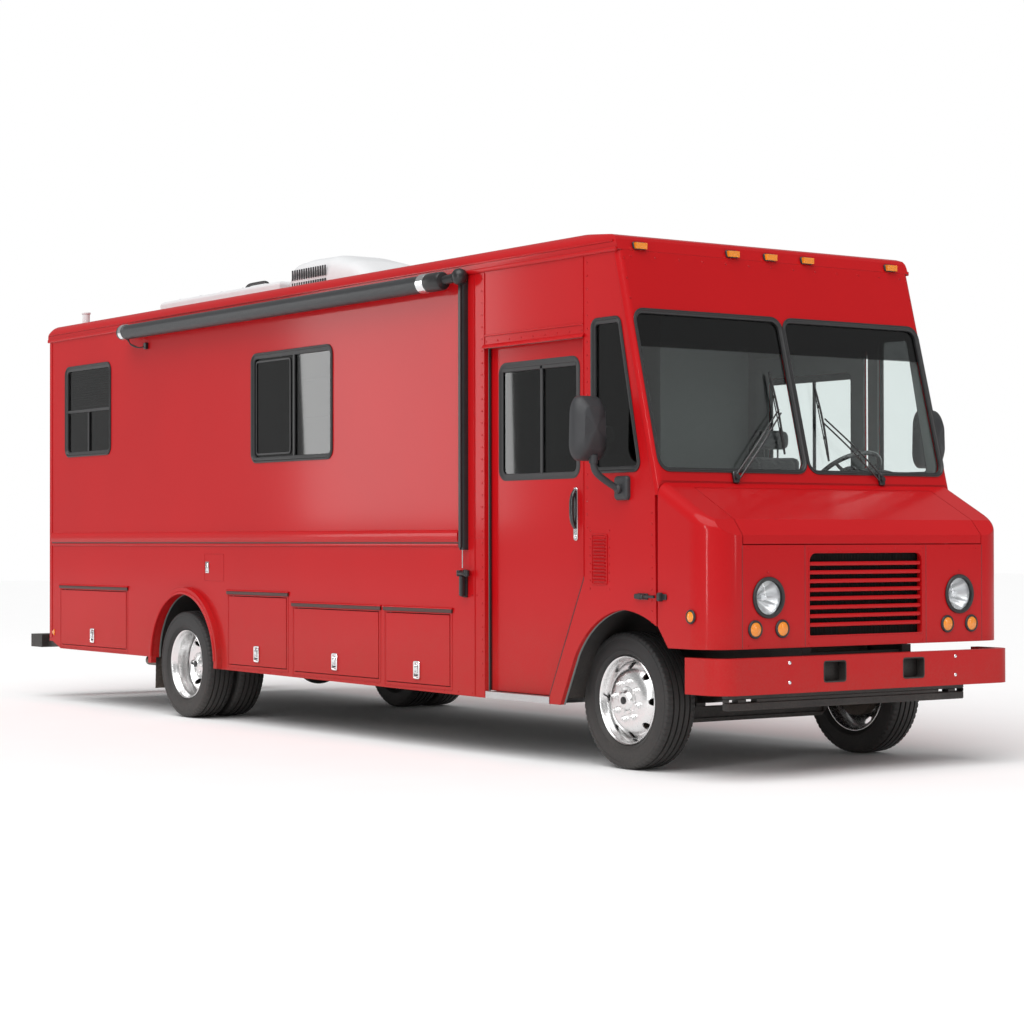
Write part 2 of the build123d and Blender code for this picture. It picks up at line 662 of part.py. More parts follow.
def nose_shell():
    """One-piece nose: sides, front panel and cowl strip, with openings for lid and grille."""
    outer = nose_form(0)
    inner = Pos(0, 15, -5) * nose_form(NOSE_SHELL)
    inside = HALF_WIDTH - NOSE_SHELL
    open_z = (NOSE_BOTTOM_Z - 10, NOSE_BOTTOM_Z + 10)
    below = box((-inside, inside), (station(NOSE_S + NOSE_CORNER_R), station(COWL_S)), open_z)
    shell = outer - inner - below
    shell -= lid_region()
    through = (station(NOSE_S - 30), station(NOSE_S + 80))
    shell -= box((-GRILLE[0], GRILLE[0]), through, (GRILLE[1], GRILLE[2]))
    shell -= box((-HALF_WIDTH - 5, HALF_WIDTH + 5), (station(-600), station(COWL_S + 5)), (600, 737))
    low = NOSE_BOTTOM_Z - 1
    chamfer_pts = [(station(COWL_S + 5), 868), (station(-600), low), (station(COWL_S + 5), low)]
    shell -= extrude(Plane.YZ * outline(chamfer_pts), HALF_WIDTH + 5, both=True)
    for side in SIDES.values():
        lamp = Pos(side * LAMP_X, station(NOSE_S), LAMP_Z) * Rot(90, 0, 0)
        shell -= lamp * Cylinder(LAMP_BOWL_R + 1, 120)
    return shell


def hood_lid():
    """Top lid of the nose with its bent front edge."""
    shell = nose_form(0) - Pos(0, 15, -5) * nose_form(NOSE_SHELL)
    g = 5.0
    y = (station(NOSE_S - 60), station(LID_REAR_S - g))
    room = box((g - LID_HALF, LID_HALF - g), y, (LID_Z + g, 1800))
    return shell & room


def grille():
    """Frame and horizontal bars in the front panel's opening."""
    half, low, high = GRILLE
    s = (NOSE_S + 2, NOSE_S + 22)
    y = (station(s[0]), station(s[1]))
    inside = box((15 - half, half - 15), (y[0] - 5, y[1] + 5), (low + 12, high - 12))
    frame = box((-half, half), y, (low, high)) - inside
    pitch = (high - low - 24) / 9
    for bar in range(1, 9):
        z = low + 12 + pitch * bar
        frame += box((10 - half, half - 10), (y[0], y[1]), (z - 11, z + 11))
    return frame


def headlamps():
    """Round lamps in raised black rings."""
    lamps = []
    for side in SIDES.values():
        here = Pos(side * LAMP_X, station(NOSE_S), LAMP_Z) * Rot(90, 0, 0)
        bowl = here * Pos(0, 0, -40) * Cylinder(LAMP_BOWL_R, 90)
        ring = here * Pos(0, 0, 6) * Cylinder(LAMP_RING_R, 12)
        lamps.append(bowl + ring)
    return lamps


def turn_lamps():
    """Four small round lamps below the headlamps and one marker on each nose side."""
    lamps = []
    for side in SIDES.values():
        for x in TURN_X:
            lamps.append(Pos(side * x, station(NOSE_S - 8), TURN_Z) * Rot(90, 0, 0) * Cylinder(TURN_R, 16))
        marker_at = Pos(side * (HALF_WIDTH + 7), station(-802), 918)
        lamps.append(marker_at * Rot(0, 90, 0) * Cylinder(MARKER_R, 14))
    return lamps


# ---------------------------------------------------------------- outside fittings

def front_bumper():
    """Formed bumper with rounded ends, wrap-around returns and two tow slots."""
    half, low, high = HALF_WIDTH - 5, *BUMPER_Z
    y0, y1 = station(BUMPER_S), station(-740)
    outer = box((-half, half), (y0, y1), (low, high))
    outer = fillet(outer.edges().filter_by(Axis.Z).filter_by(lambda e: e.center().Y < y0 + 1), 140)
    depth = 62
    inner = box((depth - half, half - depth), (y0 + depth, y1 + 10), (low - 5, high + 5))
    inner = fillet(inner.edges().filter_by(Axis.Z).filter_by(lambda e: e.center().Y < y0 + depth + 1), 80)
    bumper = outer - inner
    for side in SIDES.values():
        bumper -= side_box(side, (227, 395), (BUMPER_S - 20, BUMPER_S + 90), (541, 657))
    for side in SIDES.values():
        bumper += side_box(side, (420, 520), (BUMPER_S + depth - 2, -900), (540, 650))
    return bumper


def rear_bumper():
    """Step bumper on four arms, with a pocket in the middle over a drilled tow plate."""
    low, high = REAR_BUMPER_Z
    bumper = box((-1080, 1080), (station(8053), station(REAR_BUMPER_S)), (low, high))
    for side in SIDES.values():
        bumper += side_box(side, (960, 1020), (7500, 8060), (low + 10, 505))
        bumper += side_box(side, (RAIL_X - 60, RAIL_X - 10), (7400, 8060), (low + 10, RAIL_TOP_Z - RAIL_H))
    pocket = (station(REAR_BUMPER_S - TOW_POCKET), station(REAR_BUMPER_S + 5))
    bumper -= box((-90, 90), pocket, (low + TOW_PLATE, high + 5))
    return bumper - Pos(0, station(REAR_BUMPER_S - TOW_POCKET / 2), low) * Cylinder(TOW_HOLE_R, 60)


def awning():
    """Rolled awning on brackets, with the folded front arm and its pole."""
    x, z = -1265.0, 2990.0
    y0, y1 = station(1530), station(6110)
    wall_x = -HALF_WIDTH
    roll = Pos(x, (y0 + y1) / 2, z) * Rot(90, 0, 0) * Cylinder(60, y1 - y0)
    for s in (1530, 6110 - 60):
        roll += box((x, wall_x), (station(s), station(s + 60)), (z - 20, z + 20))
    arm = box((-1225, wall_x), (station(1395), station(1445)), (1180, 3010))
    arm += Pos(-1222, station(1410), 3010) * Sphere(52)
    arm += box((-1240, wall_x), (station(1395), station(1540)), (2970, 3030))
    arm += box((-1235, wall_x), (station(1390), station(1450)), (990, 1180))
    return roll + arm


def air_conditioner():
    """Rooftop unit with a raked front and a rounded cover."""
    pts = [(3930, ROOF_TOP_Z), (4000, 3340), (4450, 3520), (5050, 3530), (5120, ROOF_TOP_Z)]
    unit = extrude(Plane.YZ * outline([(station(s), z) for s, z in pts]), 350, both=True)
    return fillet(unit.edges().filter_by(lambda e: e.center().Z > ROOF_TOP_Z + 10), 35)


def roof_hatch():
    """Long low roof fairing and the small vent pipe behind it."""
    hatch = box((-330, 330), (station(5250), station(7300)), (ROOF_TOP_Z, 3385))
    hatch = fillet(hatch.edges().filter_by(lambda e: e.center().Z > 3380), 35)
    return [hatch, Pos(-1020, station(7300), 3212) * Cylinder(30, 88)]


def mirrors():
    """Mirror heads on tubular arms, one each side."""
    pair = []
    for side in SIDES.values():
        head = side_box(side, (1290, 1500), (-205, -95), (1800, 2175))
        head = fillet(head.edges(), 40)
        arm = side_box(side, (1370, 1410), (-190, -150), (1690, 1805))
        arm += side_box(side, (HALF_WIDTH + 24, 1410), (-200, -150), (1660, 1700))
        arm += side_box(side, (HALF_WIDTH, HALF_WIDTH + 30), (-245, -150), (1580, 1710))
        pair.append(head + arm)
    return pair


def wipers():
    """Two wiper arms with blades, lying just in front of the glass."""
    pair = []
    for pivot_x, tip_x in ((-599.0, -215.0), (576.0, 190.0)):
        base = Vector(pivot_x, station(front_s(WIPER_Z)) - 22, WIPER_Z)
        tip = Vector(tip_x, station(front_s(2090)) - 22, 2090)
        blade_top = Vector(tip_x, station(front_s(2340)) - 22, 2340)
        blade_low = Vector(tip_x, station(front_s(1850)) - 22, 1850)
        arm = bar_between(base, tip, 9)
        arm += bar_between(blade_low, blade_top, 8)
        arm += Pos(pivot_x, station(front_s(WIPER_Z)) - 12, WIPER_Z) * Rot(90, 0, 0) * Cylinder(14, 40)
        pair.append(arm - slanted_slab((0, 45), 1500, 2800, HALF_WIDTH))
    return pair


def bar_between(start, end, radius):
    """Round bar between two points."""
    run = end - start
    plane = Plane(origin=start, z_dir=run)
    return plane * Cylinder(radius, run.length, align=(Align.CENTER, Align.CENTER, Align.MIN))


def body_lamps():
    """Clearance lamps over the windshield and the rear, and the tail lamps."""
    lamps = []
    for x in (-1008, -300, 0, 300, 1008):
        ahead = (station(front_s(3058)) - 28, station(front_s(3040)) - 1)
        lamps.append(box((x - 42, x + 42), ahead, (3040, 3076)))
        behind = (station(BODY_REAR_S) + 36, station(BODY_REAR_S) + 60)
        lamps.append(box((x - 42, x + 42), behind, (3040, 3076)))
    for side in SIDES.values():
        lamps.append(side_box(side, (900, 1060), (BODY_REAR_S, BODY_REAR_S + 30), (760, 1000)))
    return lamps


def mudflaps():
    """Rubber flaps behind the twin wheels."""
    return [side_box(side, (700, 1120), (5745, 5755), (195, 700)) for side in SIDES.values()]


# ---------------------------------------------------------------- cab inside

def dashboard():
    """Dash across the cab joined to the cover over the engine."""
    dash = box((-1080, 1080), (station(-465), station(-150)), (1430, 1660))
    cover = box((-400, 400), (station(-465), station(420)), (FLOOR_TOP_Z, 1280))
    cover -= box((-345, 345), (station(-600), station(340)), (FLOOR_TOP_Z - 5, 1200))
    cover += box((-300, 300), (station(-465), station(-200)), (1270, 1440))
    x, s, z = STEERING_AT
    shroud = Pos(0, 0, -120) * Cylinder(38, 150, align=(Align.CENTER, Align.CENTER, Align.MAX))
    return dash + cover + Pos(x, station(s), z) * Rot(-STEERING_TILT, 0, 0) * shroud


def seats():
    """Driver's and passenger's seats on pedestals."""
    pair = []
    for side in SIDES.values():
        x0, x1 = SEAT_X
        base = side_box(side, (x0 + 80, x1 - 80), (190, 500), (FLOOR_TOP_Z, 1301))
        cushion = side_box(side, (x0, x1), (110, 620), (1300, 1440))
        back = side_box(side, (x0, x1), (590, 720), (1380, 2060))
        pair.append(base + fillet(cushion.edges(), 40) + fillet(back.edges(), 40))
    return pair


def steering_wheel():
    """Rim, spokes and column along its own tilted axis."""
    wheel = Torus(215, 16) + Cylinder(45, 40)
    for turn in (0, 120, 240):
        spoke = Pos(108, 0, 0) * Box(216, 30, 14)
        wheel += Rot(0, 0, turn + 90) * spoke
    wheel += Pos(0, 0, -20) * Cylinder(22, 95, align=(Align.CENTER, Align.CENTER, Align.MAX))
    x, s, z = STEERING_AT
    return Pos(x, station(s), z) * Rot(-STEERING_TILT, 0, 0) * wheel


# ---------------------------------------------------------------- export

def save(name, *solids):
    """Write one node: a single solid, or a compound of solids that stay apart."""
    flat = []
    for item in solids:
        flat += item.solids()
    part = flat[0] if len(flat) == 1 else Compound(children=flat)
    part.label = name
    export_step(part, f"parts/{name}.step")


def main():
    os.makedirs("parts", exist_ok=True)
    save("ladder_frame", ladder_frame())
    save("floor_bearers", *floor_bearers())
    save("engine_block", engine_block())
    save("front_axle", beam_axle())
    save("leaf_springs", *leaf_springs())
    save("rear_axle", rear_axle())
    save("driveshaft", driveshaft())
    save("fuel_tank", fuel_tank())
    save("exhaust", exhaust(), tailpipe_end())
    for name, side in SIDES.items():
        save(f"knuckle_{name}", knuckle(side))
        rim, tyre = front_wheel(side)
        save(f"front_rim_{name}", rim)
        save(f"front_tyre_{name}", tyre)
        rims, tyres = rear_wheels(side)
        save(f"rear_rims_{name}", rims)
        save(f"rear_tyres_{name}", tyres)
        save(f"rear_door_{name}", rear_door(side))
    save("floor", floor())
    save("roof", roof())
    save("side_walls", *[side_wall(side) for side in SIDES.values()])
    save("lower_walls", lower_wall(RIGHT, RIGHT_LOCKERS), lower_wall(LEFT, LEFT_LOCKERS))
    save("cab_sides", *[cab_side(side) for side in SIDES.values()])
    save("rear_wall", rear_wall())
    save("front_wall", front_wall())
    save("windshields", *windshields())
    save("side_windows", *side_windows())
    save("partitions", *partitions())
    save("entry_steps", *entry_steps())
    save("luggage_bays", *luggage_bays())
    save("entry_door", sliding_door(RIGHT))
    save("entry_door_window", door_window(RIGHT))
    save("driver_door", sliding_door(LEFT))
    save("driver_door_window", door_window(LEFT))
    for number, locker in enumerate(RIGHT_LOCKERS, 1):
        save(f"locker_door_right_{number}", locker_door(RIGHT, locker))
    for number, locker in enumerate(LEFT_LOCKERS, 1):
        save(f"locker_door_left_{number}", locker_door(LEFT, locker))
    save("nose_shell", nose_shell())
    save("hood_lid", hood_lid())
    save("grille", grille())
    save("headlamps", *headlamps())
    save("turn_lamps", *turn_lamps())
    save("front_bumper", front_bumper())
    save("rear_bumper", rear_bumper())
    save("awning", awning())
    save("air_conditioner", air_conditioner())
    save("roof_hatch", *roof_hatch())
    save("mirrors", *mirrors())
    save("wipers", *wipers())
    save("body_lamps", *body_lamps())
    save("mudflaps", *mudflaps())
    save("dashboard", dashboard())
    save("seats", *seats())
    save("steering_wheel", steering_wheel())


main()
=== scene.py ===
import json
from math import radians

import bmesh
import bpy
import numpy as np
from mathutils import Matrix, Vector


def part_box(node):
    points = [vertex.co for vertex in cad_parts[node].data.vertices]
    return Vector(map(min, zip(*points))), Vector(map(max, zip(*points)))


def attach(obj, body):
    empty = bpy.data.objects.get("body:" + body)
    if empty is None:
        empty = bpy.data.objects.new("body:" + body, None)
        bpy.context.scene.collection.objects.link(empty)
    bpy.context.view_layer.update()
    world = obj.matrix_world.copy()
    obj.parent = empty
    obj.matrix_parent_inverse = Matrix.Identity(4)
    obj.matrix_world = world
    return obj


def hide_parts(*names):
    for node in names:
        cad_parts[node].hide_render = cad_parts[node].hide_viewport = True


# Looks of a red step-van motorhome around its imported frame. Metres, +Z up, the front faces -Y,
# right side is -X. A shape is (points, [face arrays]); a place is (origin, u, v, outward).

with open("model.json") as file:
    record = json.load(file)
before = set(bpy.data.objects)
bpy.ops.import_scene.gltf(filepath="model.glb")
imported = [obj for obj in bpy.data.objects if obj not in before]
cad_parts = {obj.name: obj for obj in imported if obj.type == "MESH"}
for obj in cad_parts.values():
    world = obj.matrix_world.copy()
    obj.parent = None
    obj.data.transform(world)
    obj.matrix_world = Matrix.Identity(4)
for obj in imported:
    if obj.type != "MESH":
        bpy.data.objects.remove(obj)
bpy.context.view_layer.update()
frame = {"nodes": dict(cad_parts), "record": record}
print("frame loaded")

sides = {"right": -1, "left": 1}


def lumps(node, axis=0, keep=None):
    # boxes of a node's separate lumps: the lowest point number spreads along the edges until it settles
    mesh = frame["nodes"][node].data
    points = np.array([v.co for v in mesh.vertices], float).round(4)
    points, index = np.unique(points, axis=0, return_inverse=True)
    ends = index.ravel()[np.array([e.vertices[:] for e in mesh.edges])]
    label, before = np.arange(len(points)), None
    while before is None or (label != before).any():
        before = label.copy()
        low = label[ends].min(1)
        np.minimum.at(label, ends[:, 0], low)
        np.minimum.at(label, ends[:, 1], low)
    boxes = [(points[label == k].min(0), points[label == k].max(0)) for k in np.unique(label)]
    boxes = [b for b in boxes if keep is None or keep((b[0] + b[1]) / 2)]
    return sorted(boxes, key=lambda b: b[0][axis])


def sideBox(node, side):
    # box of the points of a node that lie on one side of the middle
    points = np.array([v.co for v in frame["nodes"][node].data.vertices], float)
    points = points[points[:, 0] * side > 0]
    return points.min(0), points.max(0)


def corner(node):
    low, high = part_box(node)
    return np.array(low), np.array(high)


axleY = float(np.mean([c[1] for c in corner("front_axle")]))
rearAxleY = float(np.mean([c[1] for c in corner("rear_tyres_right")]))
axleZ = float(np.mean([c[2] for c in corner("front_tyre_right")]))
tyreRadius = axleZ
wallX = float(corner("side_walls")[1][0])
wallRearY = float(corner("side_walls")[1][1])
beltZ = float(corner("side_walls")[0][2])
roofSeamZ = float(corner("side_walls")[1][2])
noseY = float(corner("nose_shell")[0][1])
noseRearY = float(corner("nose_shell")[1][1])
doorFaceX = 1.119

# the slanted front: a point on it at height z, and its upward and outward directions
frontLow, frontHigh = np.array((0, axleY - 0.506, 1.680)), np.array((0, axleY - 0.127, 3.109))
frontUp = (frontHigh - frontLow) / np.linalg.norm(frontHigh - frontLow)
frontOut = np.array((0, -frontUp[2], frontUp[1]))
axisX, axisY, axisZ = np.eye(3)


def station(s):
    return axleY + s


def frontPoint(x, z, out=0.0):
    y = frontLow[1] + (z - frontLow[2]) * frontUp[1] / frontUp[2]
    return np.array((x, y, z)) + out * frontOut


# ---- shapes worked out on grids

def gridFaces(rows, columns, closeRows=False, closeColumns=False):
    # quads between neighbours of a rows x columns grid, wrapping round where asked
    i, j = np.meshgrid(np.arange(rows - (not closeRows)), np.arange(columns - (not closeColumns)), indexing="ij")
    i2, j2 = (i + 1) % rows, (j + 1) % columns
    return np.stack([i * columns + j, i2 * columns + j, i2 * columns + j2, i * columns + j2], -1).reshape(-1, 4)


def toWorld(local, place):
    # world = origin + a u + b v + c n
    origin, u, v, n = (np.array(p, float) for p in place)
    return origin + local[..., 0:1] * u + local[..., 1:2] * v + local[..., 2:3] * n


def joined(*shapes):
    points, faces, start = [], [], 0
    for shapePoints, shapeFaces in shapes:
        points.append(shapePoints)
        faces += [f + start for f in shapeFaces]
        start += len(shapePoints)
    return np.concatenate(points), faces


def copies(shape, offsets, turns=None):
    # the same shape at many places: p -> turn p + offset, as one array
    points, faces = shape
    offsets = np.array(offsets, float)
    turned = np.einsum("kij,nj->kni", turns, points) if turns is not None else points[None]
    placed = (turned + offsets[:, None]).reshape(-1, 3)
    step = np.arange(len(offsets))[:, None, None] * len(points)
    return placed, [(f[None] + step).reshape(-1, f.shape[1]) for f in faces]


def circleLoop(radius=0.0, steps=48):
    a = np.linspace(0, 2 * np.pi, steps, endpoint=False)
    normals = np.stack([np.cos(a), np.sin(a)], -1)
    return normals * radius, normals


def roundLoop(width, height, radius, steps=7):
    # rounded rectangle: a quarter circle about each of the four corner centres
    a = np.arange(4)[:, None] * np.pi / 2 + np.linspace(0, np.pi / 2, steps)
    normals = np.stack([np.cos(a), np.sin(a)], -1)
    corners = np.array([(1, 1), (-1, 1), (-1, -1), (1, -1)]) * (width / 2 - radius, height / 2 - radius)
    return (corners[:, None] + radius * normals).reshape(-1, 2), normals.reshape(-1, 2)


def cornerLoop(corners, radius, steps=7):
    # polygon, anticlockwise, with an arc tangent to both sides at each corner
    c = np.array(corners, float)
    back, on = np.roll(c, 1, 0) - c, np.roll(c, -1, 0) - c
    back, on = (d / np.linalg.norm(d, axis=1, keepdims=True) for d in (back, on))
    half = np.arccos((back * on).sum(1)) / 2
    middle = back + on
    centre = c + middle / np.linalg.norm(middle, axis=1, keepdims=True) * (radius / np.sin(half))[:, None]
    start = np.arctan2(back[:, 0], -back[:, 1])
    a = start[:, None] + (np.pi - 2 * half)[:, None] * np.linspace(0, 1, steps)
    normals = np.stack([np.cos(a), np.sin(a)], -1)
    return (centre[:, None] + radius * normals).reshape(-1, 2), normals.reshape(-1, 2)


def carried(loop, profile, place, closed=True):
    # profile (offset, height) carried round a loop: point = loop + normal * offset, raised by height
    points, normals = loop
    profile = np.array(profile, float)
    flat = points[:, None] + normals[:, None] * profile[None, :, 0:1]
    height = np.broadcast_to(profile[None, :, 1:2], flat.shape[:2] + (1,))
    local = np.concatenate([flat, height], -1)
    n, m = flat.shape[:2]
    return toWorld(local, place).reshape(-1, 3), [gridFaces(n, m, True, closed)]


def capped(loop, profile, place):
    # the same with an open profile, closed by a fan at each end
    points, faces = carried(loop, profile, place, closed=False)
    n, m = len(loop[0]), len(profile)
    middle = loop[0].mean(0)
    ends = toWorld(np.array([(*middle, profile[0][1]), (*middle, profile[-1][1])]), place)
    i = np.arange(n)
    k = (i + 1) % n
    first = np.stack([i * m, k * m, np.full(n, n * m)], -1)
    last = np.stack([k * m + m - 1, i * m + m - 1, np.full(n, n * m + 1)], -1)
    return np.concatenate([points, ends]), faces + [first, last]


def turned(profile, place, steps=64, closed=True):
    # surface of revolution: radius and height of the profile turned about the place's outward axis
    loop = circleLoop(0.0, steps)
    return carried(loop, profile, place) if closed else capped(loop, profile, place)


def extruded(profile, place, length):
    # closed outline (u, v) drawn along the outward axis, with flat ends
    profile = np.array(profile, float)
    n = len(profile)
    local = np.concatenate([np.c_[profile, np.zeros(n)], np.c_[profile, np.full(n, length)]])
    ends = [np.arange(n)[None, ::-1], np.arange(n, 2 * n)[None]]
    return toWorld(local, place), [gridFaces(2, n, False, True)] + ends


def tube(path, radius, sides=12, up=axisZ, flat=1.0):
    # circle or ellipse carried along a path: point = path + r (cos a * side + flat sin a * up)
    path = np.array(path, float)
    tangent = np.gradient(path, axis=0)
    tangent /= np.linalg.norm(tangent, axis=1, keepdims=True)
    across = np.cross(tangent, up)
    across /= np.linalg.norm(across, axis=1, keepdims=True)
    over = np.cross(across, tangent)
    a = np.linspace(0, 2 * np.pi, sides, endpoint=False)
    r = np.broadcast_to(radius, len(path))[:, None, None]
    ring = np.cos(a)[None, :, None] * across[:, None] + flat * np.sin(a)[None, :, None] * over[:, None]
    points = (path[:, None] + r * ring).reshape(-1, 3)
    ends = [np.arange(sides)[None, ::-1], (np.arange(sides) + (len(path) - 1) * sides)[None]]
    return points, [gridFaces(len(path), sides, False, True)] + ends


def smoothPath(points, steps=40):
    # Catmull-Rom curve through the points, as one cubic in t for every span
    p = np.array(points, float)
    p = np.concatenate([2 * p[:1] - p[1:2], p, 2 * p[-1:] - p[-2:-1]])
    t = np.linspace(0, len(p) - 3, steps)
    k = np.minimum(t.astype(int), len(p) - 4)
    t = (t - k)[:, None]
    a, b, c, d = (p[k + i] for i in range(4))
    return 0.5 * (2 * b + (c - a) * t + (2 * a - 5 * b + 4 * c - d) * t**2 + (3 * b - a - 3 * c + d) * t**3)


def block(low, high, edge=0.003):
    # box with rounded upright edges and chamfered ends
    low, high = np.minimum(low, high), np.maximum(low, high)
    size = high - low
    e = min(edge, 0.45 * size.min())
    loop = roundLoop(size[0], size[1], e, 3)
    origin = ((low[0] + high[0]) / 2, (low[1] + high[1]) / 2, low[2])
    return capped(loop, [(-e, 0), (0, e), (0, size[2] - e), (-e, size[2])], (origin, axisX, axisY, axisZ))


def dome(radius, height, place, sides=10):
    # low rivet head: three rings on an ellipse, closed at the top and the foot
    t = np.linspace(0, np.pi / 2, 4)[:-1]
    profile = [(0.2 * radius, -0.001)] + [(radius * np.cos(a), height * np.sin(a)) for a in t]
    profile.append((0.15 * radius, height))
    return capped(circleLoop(0.0, sides), profile, place)


def rivetRow(start, end, pitch, outward, radius=0.0070, height=0.0034):
    # rivet heads at even spaces between two points
    start, end = np.array(start, float), np.array(end, float)
    count = max(2, int(np.linalg.norm(end - start) / pitch) + 1)
    spots = start + (end - start) * np.linspace(0, 1, count)[:, None]
    outward = np.array(outward, float)
    u = np.cross(outward, axisZ if abs(outward[2]) < 0.9 else axisY)
    u /= np.linalg.norm(u)
    one = dome(radius, height, (np.zeros(3), u, np.cross(outward, u), outward), 8)
    return copies(one, spots)


def sidePlace(side, y, z, x=None):
    return ((side * (wallX if x is None else x), y, z), axisY, axisZ, axisX * side)


def nosePlace(x, z, out=0.0):
    return ((x, noseY - out, z), axisX, axisZ, -axisY)


def slantPlace(x, z, out=0.0):
    return (frontPoint(x, z, out), axisX, frontUp, frontOut)


def makePiece(name, shape, material, body="vehicle", sharp=35, closed=True, replaced=()):
    points, faces = shape
    mesh = bpy.data.meshes.new(name)
    mesh.vertices.add(len(points))
    mesh.vertices.foreach_set("co", points.astype(np.float32).ravel())
    loops = np.concatenate([f.ravel() for f in faces]).astype(np.int32)
    counts = np.concatenate([np.full(len(f), f.shape[1]) for f in faces])
    starts = np.concatenate([[0], np.cumsum(counts)[:-1]]).astype(np.int32)
    mesh.loops.add(len(loops))
    mesh.loops.foreach_set("vertex_index", loops)
    mesh.polygons.add(len(counts))
    mesh.polygons.foreach_set("loop_start", starts)
    mesh.update(calc_edges=True)
    mesh.validate()
    work = bmesh.new()
    work.from_mesh(mesh)
    bmesh.ops.remove_doubles(work, verts=work.verts, dist=2e-6)
    if closed:
        bmesh.ops.recalc_face_normals(work, faces=work.faces)
    work.to_mesh(mesh)
    work.free()
    mesh.polygons.foreach_set("use_smooth", np.ones(len(mesh.polygons), bool))
    mesh.set_sharp_from_angle(angle=radians(sharp))
    mesh.materials.append(material)
    piece = bpy.data.objects.new(name, mesh)
    bpy.context.scene.collection.objects.link(piece)
    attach(piece, body)
    if replaced:
        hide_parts(*replaced)
    return piece


# ---- shader groups shared by the materials

def newGroup(name, inputs, outputs):
    group = bpy.data.node_groups.new(name, "ShaderNodeTree")
    for label, kind, default in inputs:
        socket = group.interface.new_socket(label, in_out="INPUT", socket_type="NodeSocket" + kind)
        if default is not None:
            socket.default_value = default
    for label, kind in outputs:
        group.interface.new_socket(label, in_out="OUTPUT", socket_type="NodeSocket" + kind)
    return group, group.nodes.new("NodeGroupInput"), group.nodes.new("NodeGroupOutput")


def addNode(tree, kind, settings=None, **values):
    # node with its settings, and its inputs set from values or linked from sockets
    node = tree.nodes.new("ShaderNode" + kind)
    for key, value in (settings or {}).items():
        setattr(node, key, value)
    for key, value in values.items():
        label = key.replace("_", " ")
        socket = node.inputs[int(key[1:])] if key[0] == "i" and key[1:].isdigit() else node.inputs[label]
        if isinstance(value, bpy.types.NodeSocket):
            tree.links.new(value, socket)
        else:
            socket.default_value = value
    return node


def math(tree, operation, a, b=0.0, clamp=False):
    return addNode(tree, "Math", {"operation": operation, "use_clamp": clamp}, i0=a, i1=b).outputs[0]


def noiseBumpGroup():
    # fine unevenness: noise at a scale per metre, read as a height
    group, start, end = newGroup("fineUneven", [
        ("Vector", "Vector", None), ("Scale", "Float", 40.0), ("Height", "Float", 0.001),
        ("Normal", "Vector", None)], [("Normal", "Vector"), ("Value", "Float")])
    noise = addNode(group, "TexNoise", None, Vector=start.outputs[0], Scale=start.outputs[1], Detail=3.0)
    bump = addNode(group, "Bump", None, Height=noise.outputs["Fac"], Distance=start.outputs[2],
                   Normal=start.outputs[3])
    bump.inputs["Strength"].default_value = 1.0
    group.links.new(bump.outputs[0], end.inputs[0])
    group.links.new(noise.outputs["Fac"], end.inputs[1])
    return group


def dustGroup():
    # road film: strongest below a height and fading to none above it, broken by two noises
    group, start, end = newGroup("roadFilm", [
        ("Vector", "Vector", None), ("Low", "Float", 0.3), ("High", "Float", 1.2),
        ("Amount", "Float", 0.3)], [("Mask", "Float")])
    height = addNode(group, "SeparateXYZ", None, Vector=start.outputs[0]).outputs[2]
    fade = addNode(group, "MapRange", {"clamp": True}, Value=height, From_Min=start.outputs[2],
                   From_Max=start.outputs[1]).outputs[0]
    coarse = addNode(group, "TexNoise", None, Vector=start.outputs[0], Scale=5.0, Detail=6.0).outputs["Fac"]
    fine = addNode(group, "TexNoise", None, Vector=start.outputs[0], Scale=90.0, Detail=2.0).outputs["Fac"]
    broken = math(group, "MULTIPLY", math(group, "MULTIPLY", coarse, fine), 3.2)
    mask = math(group, "MULTIPLY", math(group, "MULTIPLY", fade, broken), start.outputs[3], True)
    group.links.new(mask, end.inputs[0])
    return group


def edgeGroup():
    # worn edges: where a rounded normal leaves the true one, broken by noise
    group, start, end = newGroup("edgeWear", [
        ("Vector", "Vector", None), ("Radius", "Float", 0.004), ("Amount", "Float", 0.5)],
        [("Mask", "Float"), ("Normal", "Vector")])
    soft = addNode(group, "Bevel", {"samples": 3}, Radius=start.outputs[1]).outputs[0]
    true = addNode(group, "NewGeometry").outputs["Normal"]
    same = addNode(group, "VectorMath", {"operation": "DOT_PRODUCT"}, i0=soft, i1=true).outputs["Value"]
    bend = math(group, "SUBTRACT", 1.0, same, True)
    noise = addNode(group, "TexNoise", None, Vector=start.outputs[0], Scale=35.0, Detail=4.0).outputs["Fac"]
    mask = math(group, "MULTIPLY", math(group, "MULTIPLY", bend, noise), start.outputs[2], True)
    group.links.new(mask, end.inputs[0])
    group.links.new(soft, end.inputs[1])
    return group


